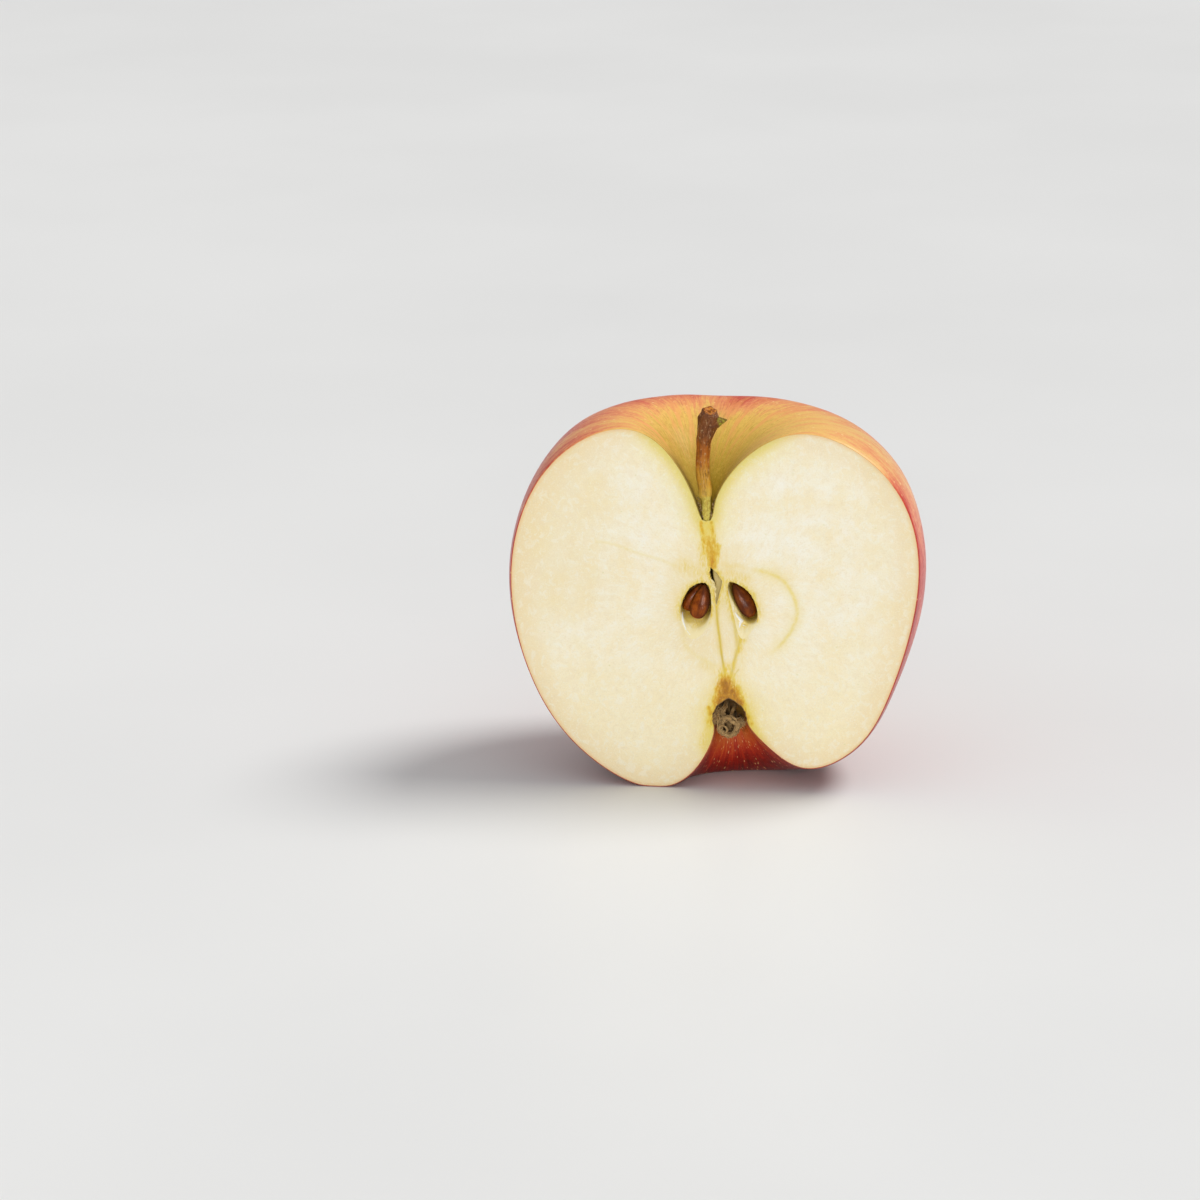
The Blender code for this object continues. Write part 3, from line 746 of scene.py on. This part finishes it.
def build_flesh(material, holes):
    loop, inward, numbers = outline_loop()
    # the flesh closes the last of the pit round the foot of the stalk
    cut = loop.copy()
    cut[:, 1] = np.where(numbers < 1, np.maximum(loop[:, 1], FOOT_V - 0.15 * (FOOT_V - loop[:, 1])), loop[:, 1])
    edge_line = cut + inward * (SKIN_THICK - 0.03)
    rnd = np.random.default_rng(7)
    # finer mesh round the core, and finest on the two stains
    pts = lattice((-41, -41), (41, 32.5), 0.5, rnd)
    for lo, hi, pitch in (((-9, -24), (19, 13), 0.24), ((-4.2, 4.4), (2.4, 14.0), 0.15),
                          ((-2.6, -27.0), (8.6, -14.8), 0.15)):
        within = ((pts > lo) & (pts < hi)).all(1)
        pts = np.concatenate([pts[~within], lattice(lo, hi, pitch, rnd)])
    lines = [(line, 0.13) for line, _, _ in THREADS] + [(CREASE, 0.22), (ARC, 0.2)]
    for line, gap in lines:
        d, _ = distance(pts, spline(line, 8), closed=False)
        pts = pts[d > gap * 3.2]
    rows = np.array([-2.6, -1.5, -0.7, 0, 0.7, 1.5, 2.6])
    pts = np.concatenate([pts] + [beside(line, rows * gap, gap * 1.3) for line, gap in lines])
    pts = pts[inside(pts, cut)]
    pts = pts[distance(pts, cut)[0] > SKIN_THICK + 0.16]
    for hole in holes:
        pts = pts[(distance(pts, hole)[0] > 0.1) & ~inside(pts, hole)]
    verts, tris = fill([edge_line] + holes, pts)

    d, where = distance(verts, loop)
    no = np.interp(where % len(loop), np.arange(len(loop) + 1), np.append(numbers, numbers[0]))
    pit = np.maximum(smooth(no, 4.1, 3.3), smooth(no, 9.9, 10.8) * 0.9)
    u, v = verts[:, 0], verts[:, 1]
    amber, brown = spread(verts, AMBER), spread(verts, BROWN)
    thread = np.zeros(len(verts))
    for line, wide, power in THREADS:
        thread = np.maximum(thread, power * bell(curve_distance(verts, line, 8)[0], wide))
    dd, t = curve_distance(verts, ARC, 6)
    vein = np.maximum(0.85 * bell(dd, 0.7 - 0.2 * t), 0.35 * bell(dd, 1.5))
    vein *= smooth(t, 0.0, 0.2) * smooth(t, 1.0, 0.8)
    crease, _ = curve_distance(verts, CREASE, 6)
    vein = np.maximum(vein, 0.3 * bell(crease, 0.3))
    vein = np.maximum(vein, 0.3 * bell(curve_distance(verts, LEFT_ARC, 6)[0], 0.4))

    # low relief: uneven cut, a raised column between the threads, rough stains, raised rims, the closed foot
    w = waves(verts, 0.16) * 0.05 + waves(verts, 0.45, 1.0) * 0.03
    w += 0.02 * thread + 0.03 * bell(crease, 0.6)
    w -= 0.05 * smooth(np.abs(u - 1.9 - 0.09 * (-3 - v)), 1.5, 0.6) * smooth(v, -15, -9) * smooth(v, 1.0, -2.0)
    w += brown * (waves(verts, 4.2, 2.0) * 0.10 + waves(verts, 7.5) * 0.05)
    w += amber * waves(verts, 2.6, 4.0) * 0.04
    for hole in holes:
        dd, _ = distance(verts, hole)
        halo = 0.32 * bell(dd, 1.7) + 0.30 * np.exp(-dd / 0.3)
        amber = np.maximum(amber, halo * smooth(v, -8.6, -4.8))
        w *= smooth(dd, 0.0, 0.5)
    w *= smooth(d, 0.2, 1.2)
    w += 0.04 * bell(d - SKIN_THICK, 0.3)
    w -= 0.11 * smooth(np.hypot((u + 1.95) / 1.1, v - FOOT_V + 0.7), 2.2, 1.2)

    core = np.maximum(smooth(np.hypot(u + 1.0, (v + 3.5) / 1.25), 14.0, 6.0), 0.5 * smooth(u, 25.0, 38.0))
    core = np.maximum(core, 0.9 * smooth(u, -12.0, -31.0) * smooth(v, -14.0, 2.0))
    away = np.stack([u - 0.8, v + 3], -1)
    r = np.linalg.norm(away, axis=1)
    polar = np.c_[away / np.maximum(r, 0.5)[:, None], r]
    p = np.stack([u, w, v], -1)
    return make("flesh", world(p), tris, material,
                {"place": p, "edge": np.maximum(d - SKIN_THICK, 0), "pit": pit, "amber": amber, "brown": brown,
                 "vein": vein, "thread": thread, "core": core, "low": smooth(v, 2.0, -30.0), "polar": polar})


def rough_outline(points, steps, size, seed):
    """A chamber's opening with small tears, mostly along its upper edge."""
    loop = closed_spline(points, steps)
    rnd = np.random.default_rng(seed)
    noise = rnd.uniform(-1, 1, len(loop))
    noise = 0.6 * noise + 0.4 * np.roll(noise, 1)
    weight = 0.15 + 0.85 * smooth(loop[:, 1], -4.0, -0.5)
    return loop + unit(loop - loop.mean(0)) * (noise * size * weight)[:, None]


def left_depth(u, v, d):
    """Deep round the two seeds, then a ramp of wet membrane with a curled edge at the lower left; the returned
    ridges also carry a painted highlight.
    """
    base = np.interp(v, [-10.0, -9.0, -8.0, -7.0, -6.2, -5.0, -3.5, 0.0, 1.5],
                     [0.04, 0.2, 0.45, 0.8, 1.4, 3.0, 5.4, 5.8, 4.0])
    base = base * (1 + 0.5 * smooth(u, -4.8, -2.8) * smooth(v, -5.5, -7.5))
    reach, power = np.interp(v, [-9.5, -7.5, -6, -4], [1.7, 1.2, 0.7, 0.2]), np.interp(v, [-6, -4], [2.0, 1.3])
    w = base * (1 - np.exp(-(d / reach) ** power))
    return w, [((-6.45, -5.0), (-6.2, -6.6), 0.10, 0.20, 1.0), ((-6.2, -6.6), (-5.6, -8.2), 0.20, 0.13, 1.0),
               ((-5.5, -8.3), (-4.8, -9.2), 0.10, 0.12, 0.7), ((-4.8, -7.6), (-4.6, -8.1), 0.10, 0.08, 0.6),
               ((-3.7, -7.0), (-3.5, -7.5), 0.08, 0.08, 0.4)]


def right_depth(u, v, d):
    """Deep along the seed on the right wall, shallow membrane with raised ridges and painted highlights to the
    left of it and below.
    """
    aside = (u - 3.5) * -0.857 + (v - 1.2) * -0.514
    deep = smooth(aside, 1.9, 1.0) * smooth(v, -6.9, -5.4)
    base = 0.05 + 0.75 * smooth(v, -9.8, -6.0) + 3.6 * deep
    reach, power = np.interp(v, [-9.5, -7], [1.6, 0.8]) - 0.45 * deep, np.interp(v, [-7, -5], [2.0, 1.3])
    w = base * (1 - np.exp(-(d / reach) ** power))
    return w, [((4.0, -4.5), (4.6, -5.3), 0.12, 0.22, 0.9), ((4.6, -5.3), (5.3, -6.2), 0.24, 0.34, 1.0),
               ((5.2, -6.2), (4.9, -7.4), 0.34, 0.12, 1.0), ((5.6, -7.0), (6.2, -7.2), 0.1, 0.08, 0.8),
               ((4.7, -8.1), (5.1, -8.3), 0.1, 0.1, 0.7), ((3.6, -2.4), (3.75, -4.0), 0.09, 0.13, 0.6)]


def slit_depth(u, v, d):
    """A shallow tan pocket with a deep crack along its left side."""
    left = np.interp(v, [-3.2, 0.0, 1.0, 2.0, 3.4, 4.6], [0.15, -0.1, -0.35, -0.8, -1.0, -0.9])
    crack = bell(u - left, 0.30) * smooth(v, 0.6, 1.8)
    return (0.55 + 3.2 * crack) * (1 - np.exp(-(d / 0.10) ** 1.5)), []


def build_recess(name, loop, depth_at, material, pitch=0.13):
    rnd = np.random.default_rng(5)
    pts = lattice(loop.min(0), loop.max(0), pitch, rnd)
    pts = pts[inside(pts, loop)]
    pts = pts[distance(pts, loop)[0] > pitch * 0.45]
    verts, tris = fill([loop], pts)
    d, _ = distance(verts, loop)
    u, v = verts[:, 0], verts[:, 1]
    w, folds = depth_at(u, v, d)
    # raised ridges of membrane, which also carry a painted highlight
    shine = spread(verts, folds)
    rise = smooth(d, 0.0, 0.3)
    w = w + (waves(verts, 1.1, 1.0) * 0.10 + waves(verts, 3.1, 2.0) * 0.05) * np.minimum(w, 1.0) * rise
    w = w - 0.5 * shine * rise * np.minimum(w + 0.2, 1.0)
    p = np.stack([u, w, v], -1)
    return make(name, world(p), tris, material, {"place": p, "depth": w, "shine": shine * rise})


def build_flap(material):
    """Torn pale skin of the middle chamber, hanging over the left of its slit."""
    left = [(-0.95, 2.2), (-0.7, 1.55), (-0.4, 0.95), (-0.16, 0.2), (-0.05, -0.9), (0.08, -2.0)]
    right = [(-0.78, 2.25), (-0.32, 1.75), (-0.12, 1.35), (0.02, 0.75), (0.22, 0.3), (0.12, -0.3),
             (0.3, -0.9), (0.2, -1.4), (0.22, -2.0)]
    a, b = spline(left, 8), spline(right, 5)
    b = np.stack([np.interp(np.linspace(0, 1, len(a)), np.linspace(0, 1, len(b)), b[:, c]) for c in (0, 1)], -1)
    b = b + waves(b, 9.0)[:, None] * np.array([0.07, 0.0])
    rows = []
    for x in np.linspace(0, 1, 7):
        q = a + (b - a) * x
        rows.append(np.stack([q[:, 0], -0.05 + 0.28 * x * x + 0.05 * np.sin(q[:, 1] * 4 + 3 * x), q[:, 1]], -1))
    p = np.concatenate(rows)
    return make("slit_flap", world(p), grid_faces(7, len(a)), material,
                {"place": p, "depth": np.full(len(p), 0.3), "shine": np.zeros(len(p))})


def build_fuzz(material):
    """Crumbs and short dry hairs along both sides of the foot of the stalk."""
    rnd = random.Random(5)
    out = Bundle()
    sides = {-1: [-1.9, -2.85, -3.8, -5.2], 1: [-1.9, -0.95, -0.1, 1.6]}
    for k in range(90):
        v = rnd.uniform(14.2, 18.6)
        sign = -1 if k % 2 else 1
        edge = np.interp(v, [12.7, 14.8, 18.6, 22.0], sides[sign])
        where = np.array([edge - sign * rnd.uniform(-0.12, 0.3), rnd.uniform(-0.05, 0.7), v])
        go = pick(rnd, (-1, 1), (-0.8, 0.3), (-1, 1)) * rnd.uniform(0.12, 0.36)
        bend = pick(rnd, *[(-0.08, 0.08)] * 3)
        fat = rnd.choice([0.03, 0.04, 0.08]) * np.array([1.0, 1.3, 1.2, 1.0, 0.4])
        out.put_tube(spline([where, where + go * 0.5 + bend, where + go], 2), fat, 5, 0.55, 0,
                     rnd.choice([0.2, 0.6, 1.0]))
    return out.make("pit_crumbs", material)


# ---------------------------------------------------------------- seeds, stalk, calyx

def build_seed(name, tip, end, half_width, half_depth, roll, material, around=40, steps=44):
    a, b = world([tip])[0], world([end])[0]
    axis = unit(b - a)
    side = unit(np.cross(axis, (0.0, math.cos(LEAN), -math.sin(LEAN))))
    deep = np.cross(side, axis)
    side, deep = side * math.cos(roll) + deep * math.sin(roll), deep * math.cos(roll) - side * math.sin(roll)
    verts, along = [], []
    for i in range(steps + 1):
        t = (1 - math.cos(math.pi * i / steps)) / 2
        fat = (t ** 0.62) * ((1 - t) ** 0.38) / ((0.62 ** 0.62) * (0.38 ** 0.38))
        bend = 0.25 * math.sin(math.pi * t) * half_width
        for j in range(around):
            q = 2 * math.pi * j / around
            ridge = 1 + 0.035 * math.cos(2 * q) + 0.02 * math.sin(3 * q + 5 * t)
            x = a + (b - a) * t + side * ((half_width * fat * math.cos(q) * ridge + bend * 0.25) * MM)
            x = x + deep * (half_depth * fat * math.sin(q) * ridge * MM)
            verts.append(x)
            # the third value marks the sides of the seed, where its colour gets painted shade
            along.append((t, q / (2 * math.pi), abs(math.cos(q))))
    return make(name, verts, grid_faces(steps + 1, around, wrap=True), material, marks(along, verts))


# the stalk and its stub: (u, w, v) and radius
STEM_PATH = [(-1.85, 0.95, 12.9, 0.55), (-1.9, 0.75, 14.4, 0.8), (-2.05, 1.1, 16.9, 0.88),
             (-2.1, 1.3, 18.0, 0.96), (-2.2, 1.45, 18.5, 1.18), (-2.5, 1.65, 20.8, 1.28),
             (-2.9, 1.95, 23.8, 1.32), (-2.9, 2.15, 27.2, 1.36), (-2.7, 2.3, 29.6, 1.5),
             (-2.35, 2.4, 31.4, 1.72), (-2.05, 2.5, 33.2, 1.92), (-1.85, 2.55, 34.5, 1.82),
             (-1.75, 2.6, 35.3, 1.45)]
STUB = [(-1.6, 2.25, 32.8, 1.5), (-0.6, 2.2, 33.05, 1.3), (0.2, 2.15, 33.3, 0.92), (1.0, 2.1, 33.5, 0.5),
        (1.7, 2.1, 33.7, 0.1)]
# the torn end: share of the radius, rise in mm
SCAR = [(0.80, 0.16), (0.62, 0.10), (0.5, -0.16), (0.28, -0.22), (0.1, -0.05)]


def stem_ripple(t, a):
    """Ridges along the stalk, then knots across it: height, turns round, turns along."""
    folds = ((0.04, 5, 3), (0.03, 9, -7), (0.02, 14, 20), (0.05, 2, 17), (0.04, -3, 31), (0.025, 1, 60))
    return sum(high * math.sin(round_it * a + up * t) for high, round_it, up in folds) * (0.45 + 0.8 * t)


def build_stem(material):
    curve = spline(STEM_PATH, 10)
    path = world(curve[:, :3])
    around = 44
    verts, faces, across = tube(path, curve[:, 3] * MM, around, stem_ripple)
    climb = (curve[:, 2] - curve[0, 2]) / (curve[-1, 2] - curve[0, 2])
    t = np.interp(across[:, 0], np.linspace(0, 1, len(curve)), climb)
    # the end leans towards the front, and is torn: rings over the last one in place of its flat cap
    for i in range(len(curve) - 14, len(curve)):
        ring = verts[i * around:(i + 1) * around]
        lean = 0.42 * smooth(i, len(curve) - 15, len(curve) - 1)
        ring[:, 2] += lean * (ring[:, 1] - path[i][1])
    faces = [f for f in faces if len(verts) - 1 not in f]
    n, centre = len(curve), path[-1]
    edge = verts[(n - 1) * around:n * around]        # the last ring of the tube
    axis = unit(path[-1] - path[-2])
    turn = np.arange(around) / around
    firsts = [(n - 1) * around]
    for k, (share, rise) in enumerate(SCAR):
        a = 2 * math.pi * turn
        wob = (np.sin(3 * a + k) + np.sin(7 * a + 2 * k))[:, None] * 0.07
        firsts.append(len(verts))
        ring = centre + (edge - centre) * (share + wob * 0.4) + axis * ((rise + wob) * MM)
        verts = np.concatenate([verts, ring])
    links = [np.arange(around) + first for first in firsts]
    for lower, upper in zip(links, links[1:]):
        faces += [(lower[(j + 1) % around], lower[j], upper[j], upper[(j + 1) % around]) for j in range(around)]
    faces.append(tuple(links[-1]))
    turn = np.concatenate([across[:, 1]] + [turn] * len(SCAR))
    t = np.concatenate([t, np.full(around * len(SCAR), 1.03)])
    along = np.stack([t, turn, np.zeros(len(t))], -1)
    main = make("stem", verts, faces, material, marks(along, verts))
    curve = spline(STUB, 8)
    verts, faces, across = tube(world(curve[:, :3]), curve[:, 3] * MM, 24,
                                lambda t, a: 0.14 * math.cos(3 * a + 0.6) + 0.05 * math.sin(7 * a + 9 * t))
    along = np.stack([np.full(len(across), 0.86), across[:, 1], smooth(across[:, 0], 0.25, 0.55)], -1)
    stub = make("stem_stub", verts, faces, material, marks(along, verts))
    return [main, stub]


TUFT = np.array([3.15, 1.1, -27.7])          # middle of the curled tips of the calyx


def ribbon(line, widths, out, seed, rows=26, cols=13, pale=0.4):
    """A dried sepal: a creased strip along a curve, cupped towards out, with ragged pale edges."""
    rnd = random.Random(seed)
    curve = spline(line, 8)
    keep = np.linspace(0, len(curve) - 1, rows)
    curve = np.stack([np.interp(keep, np.arange(len(curve)), curve[:, c]) for c in range(3)], -1)
    tangent = np.gradient(curve, axis=0)
    half = np.interp(np.linspace(0, 1, rows), np.linspace(0, 1, len(widths)), widths)
    pts, along = [], []
    for i in range(rows):
        t = i / (rows - 1)
        across = unit(np.cross(tangent[i], out))
        away = unit(np.cross(across, tangent[i]))
        for j in range(cols):
            x = 2 * j / (cols - 1) - 1
            fold = 0.16 * math.cos(x * 6 + seed) + 0.09 * math.sin(x * 13 + 5 * t + seed)
            fold += 0.05 * math.sin(21 * t + 3 * x) - 0.55 * x * x * half[i]
            ragged = rnd.uniform(-0.07, 0.07) if abs(x) == 1 else 0
            pts.append(curve[i] + across * (half[i] * x + ragged) + away * fold)
            light = 0.9 * smooth(abs(x), 0.72, 1.0) + pale * smooth(t, 0.45, 0.9)
            along.append((t, x * 0.5 + seed, min(1.0, light)))
    return np.array(pts), grid_faces(rows, cols), np.array(along)


def build_calyx(material):
    rnd = random.Random(11)
    out = Bundle()
    # sepals down the wall of the eye, each ending in a curl round the mouth
    sepals = [(2.8, 1.0, 0.0, -23.2), (3.5, 0.9, 0.2, -23.6), (2.0, 1.0, 0.3, -23.4), (1.3, 0.8, 0.2, -24.6),
              (0.5, 0.7, 0.2, -26.0), (-0.2, 0.7, 0.3, -26.0)]
    for k, (turn, wide, drop, top) in enumerate(sepals):
        c, d = math.cos(turn), math.sin(turn)
        root = np.array([3.1 + 2.2 * c, 2.0 + 1.5 * abs(d), top])
        wall = np.array([3.15 + 2.9 * c, 1.4 + 1.7 * d, (top - 27.4) / 2 - drop * 0.3])
        lip = TUFT + np.array([2.2 * c, 1.2 * d, 0.1 - drop])
        curl = TUFT + np.array([1.7 * c, 0.2 + 0.7 * d, -1.6])
        tip = TUFT + np.array([0.8 * c, -0.6 + 0.4 * d, -1.2])
        widths = [0.7, 1.1 * wide, wide, 0.7, 0.25]
        out.put(*ribbon([root, wall, lip, curl, tip], widths, np.array([c, d, 0.0]), k + 1))
    # folded sepals in the left of the hollow
    folded = [(0.9, -23.4, -27.0, 0.62), (2.2, -22.4, -26.2, 0.5), (0.5, -24.8, -27.4, 0.45),
              (3.9, -23.4, -26.4, 0.3), (5.5, -26.2, -27.6, 0.7)]
    for k, (u, top, end, wide) in enumerate(folded):
        mid = (top + end) / 2
        line = [(u + 0.6, 1.0, top), (u + 0.1, 0.35, mid + 0.5), (u - 0.25, 0.2, mid - 0.5),
                (u + 0.2, 0.5, end)]
        front = np.array([0.2 * (k - 1), -1.0, 0.0])
        out.put(*ribbon(line, [0.3, wide, wide, 0.35], front, 20 + k, rows=18, pale=0.25))
    # curled tips: short thick rolls that make a ring, with a small loop at the lower left
    rolls = [(TUFT + np.array([0.1 * math.cos(3 * a0), -1.3, 0.12 * math.sin(5 * a0)]),
              1.62 + 0.12 * math.sin(4 * a0), a0, 1.15, 0.34 + 0.06 * math.sin(7 * a0))
             for a0 in (0.1, 0.95, 1.8, 2.5, 3.2, 3.9, 4.7, 5.5)]
    rolls += [(TUFT + np.array([-1.15, -1.6, -0.5]), 0.8, a0, 2.3, 0.21) for a0 in (0.4, 2.5, 4.6)]
    for k, (mid, r, a0, sweep, thick) in enumerate(rolls):
        line, fat = [], []
        for x in np.arange(15) / 14:
            a = a0 + sweep * (x - 0.5)
            rr = r * (1 + 0.12 * math.sin(2.7 * a + k))
            away = 0.45 * (x - 0.5) + 0.15 * math.sin(2 * k)
            line.append(mid + np.array([rr * math.cos(a), away, 1.02 * rr * math.sin(a)]))
            fat.append(thick * (0.35 + 0.65 * math.sin(math.pi * min(1, 0.08 + x * 0.95)) ** 0.6))
        v, f, ac = tube(line, fat, 20, lambda t, a, k=k: 0.16 * math.sin(6 * a + 5 * t + k)
                        + 0.12 * math.sin(11 * a - 9 * t) + 0.08 * math.sin(17 * t + 3 * a + k))
        pale = 0.25 + 0.5 * (np.sin(ac[:, 1] * 38 + k) > 0.3)
        out.put(v, f, np.stack([np.full(len(v), 0.6), ac[:, 1] * 2 + k, pale], -1))
    # loose strands along the ring
    steps = np.linspace(0, 1, 12)
    for k in range(16):
        a0, sweep = rnd.uniform(0, 2 * math.pi), rnd.uniform(0.8, 2.0)
        r, high = rnd.uniform(1.15, 2.15), rnd.uniform(-1.75, -1.1)
        line = [TUFT + np.array([(r + 0.18 * math.sin(3 * x + k)) * math.cos(a0 + sweep * x), high + 0.3 * x,
                                 (r + 0.15 * math.cos(4 * x + k)) * math.sin(a0 + sweep * x)]) for x in steps]
        out.put_tube(line, 0.06 + 0.07 * np.sin(math.pi * steps), 7, 0.6, k, rnd.uniform(0.2, 1.0))
    # withered stamens in the mouth
    for k in range(26):
        a, r = rnd.uniform(0, 2 * math.pi), rnd.uniform(0.1, 1.1)
        top = np.array([3.2 + 1.3 * math.cos(a), 2.4 + 0.6 * math.sin(a), -25.2 - rnd.uniform(0, 0.5)])
        end = TUFT + np.array([r * math.cos(a + 1), -0.5 + rnd.uniform(-0.4, 0.5), r * math.sin(a + 1)])
        mid = (top + end) / 2 + pick(rnd, (-0.5, 0.5), (-0.5, 0.2), (-0.3, 0.3))
        out.put_tube(spline([top, mid, end], 6), [0.085] * 13, 5, 0.0, k, rnd.uniform(0.0, 0.7), rise=0.5)
    # short pale hairs on everything that sticks out
    for k in range(520):
        a = rnd.uniform(0, 2 * math.pi)
        r = rnd.uniform(1.2, 2.25)
        out_by = -1.75 + 0.9 * abs(r - 1.65) + rnd.uniform(-0.1, 0.3)
        where = TUFT + np.array([r * math.cos(a), out_by, 1.02 * r * math.sin(a)])
        if k % 4 == 0:
            where = pick(rnd, (0.6, 2.4), (0.1, 0.7), (-27.3, -24.0))
        if k % 5 == 0:
            where = pick(rnd, (4.8, 6.3), (-0.3, 0.6), (-27.8, -26.0))
        b = a + rnd.choice([1.57, -1.57]) + rnd.uniform(-0.9, 0.9)
        size = rnd.uniform(0.3, 0.75)
        go = np.array([math.cos(b), rnd.uniform(-0.7, 0.1), math.sin(b)]) * size
        bend = pick(rnd, *[(-0.15, 0.15)] * 3)
        hair = spline([where, where + go * 0.5 + bend, where + go], 2)
        out.put_tube(hair, [0.04, 0.045, 0.04, 0.03, 0.015], 4, 0.6, 0, rnd.uniform(0.5, 1.0))
    return out.make("calyx", material)


# ---------------------------------------------------------------- put together

MEMBRANE, SEED, CALYX = membrane_look(), seed_look(), calyx_look()

left_loop = rough_outline(LEFT_LOCULE, 12, 0.10, 3)
right_loop = rough_outline(RIGHT_LOCULE, 14, 0.10, 4)
slit_loop = np.array(SLIT)
skin = build_skin(skin_look())
flesh = build_flesh(flesh_look(), [left_loop, right_loop, slit_loop])
left_bowl = build_recess("left_chamber", left_loop, left_depth, MEMBRANE)
right_bowl = build_recess("right_chamber", right_loop, right_depth, MEMBRANE)
slit_bowl = build_recess("core_slit", slit_loop, slit_depth, slit_look(), 0.09)
flap, fuzz = build_flap(MEMBRANE), build_fuzz(CALYX)
# tip, blunt end, half width and half depth, roll
SEEDS = {"seed_left_back": ((-2.5, 2.7, 0.7), (-5.95, 2.3, -4.7), 1.55, 1.0, 0.25),
         "seed_left_front": ((-2.05, 0.9, 0.8), (-3.75, 0.7, -6.0), 1.78, 1.0, -0.15),
         "seed_right": ((3.5, 1.4, 1.2), (7.45, 1.3, -5.35), 1.72, 1.1, 0.2)}
seeds = [(node, build_seed(node + "_look", *shape, SEED)) for node, shape in SEEDS.items()]
stem_parts = build_stem(stem_look())
calyx = build_calyx(CALYX)

for piece in (skin, flesh, left_bowl, right_bowl, slit_bowl, flap, fuzz):
    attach(piece, "root")
    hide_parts("body")
for node, piece in seeds:
    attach(piece, "root")
    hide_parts(node)
for piece in stem_parts:
    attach(piece, "root")
    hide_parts("stem")
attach(calyx, "root")
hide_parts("calyx")


# ---------------------------------------------------------------- studio

FLOOR_HALF = 6.0                                # metres
CAMERA_AT = (0.05608, -0.76684, 0.28190)
AZIMUTH, ELEVATION = math.radians(6.0), math.radians(18.0)


def build_floor():
    k = Look("studio_floor")
    cloud = k.noise(k.node("TexCoord", {}, "Object"), 6.0, 3.0)
    k.colour = k.mix(k.span(cloud, 0.3, 0.7), (0.79, 0.79, 0.785, 1), (0.82, 0.82, 0.815, 1))
    corners = [(x * FLOOR_HALF, y * FLOOR_HALF, 0) for x, y in ((-1, -1), (1, -1), (1, 1), (-1, 1))]
    make("floor", corners, [(0, 1, 2, 3)], k.finish(0.35, Specular_IOR_Level=0.06), {})


def sun(name, towards, power, spread_deg, colour=(1, 1, 1)):
    """A far soft light; the wide angle gives it the size of a large softbox."""
    data = bpy.data.lights.new(name, 'SUN')
    data.energy, data.angle, data.color = power, math.radians(spread_deg), colour
    obj = bpy.data.objects.new(name, data)
    obj.rotation_euler = (-Vector(towards)).to_track_quat('-Z', 'Y').to_euler()
    bpy.context.scene.collection.objects.link(obj)


build_floor()
scene = bpy.context.scene
scene.world = bpy.data.worlds.new("studio")
scene.world.use_nodes = True
back = scene.world.node_tree.nodes["Background"]
back.inputs["Color"].default_value = (0.98, 0.99, 1.0, 1)
back.inputs["Strength"].default_value = 0.32
sun("key", (0.75, 0.34, 1.1), 1.96, 25, (1.0, 0.99, 0.975))
sun("above", (-0.1, -0.1, 1.0), 0.50, 110)
sun("front", (0.05, -1.0, 0.06), 1.52, 24)

cam_data = bpy.data.cameras.new("camera")
cam_data.lens, cam_data.sensor_width = 120.0, 36.0
cam = bpy.data.objects.new("camera", cam_data)
scene.collection.objects.link(cam)
cam.location = CAMERA_AT
level = math.cos(ELEVATION)
look = Vector((-math.sin(AZIMUTH) * level, math.cos(AZIMUTH) * level, -math.sin(ELEVATION)))
cam.rotation_euler = look.to_track_quat('-Z', 'Y').to_euler()
scene.camera = cam
scene.view_settings.view_transform = 'Standard'
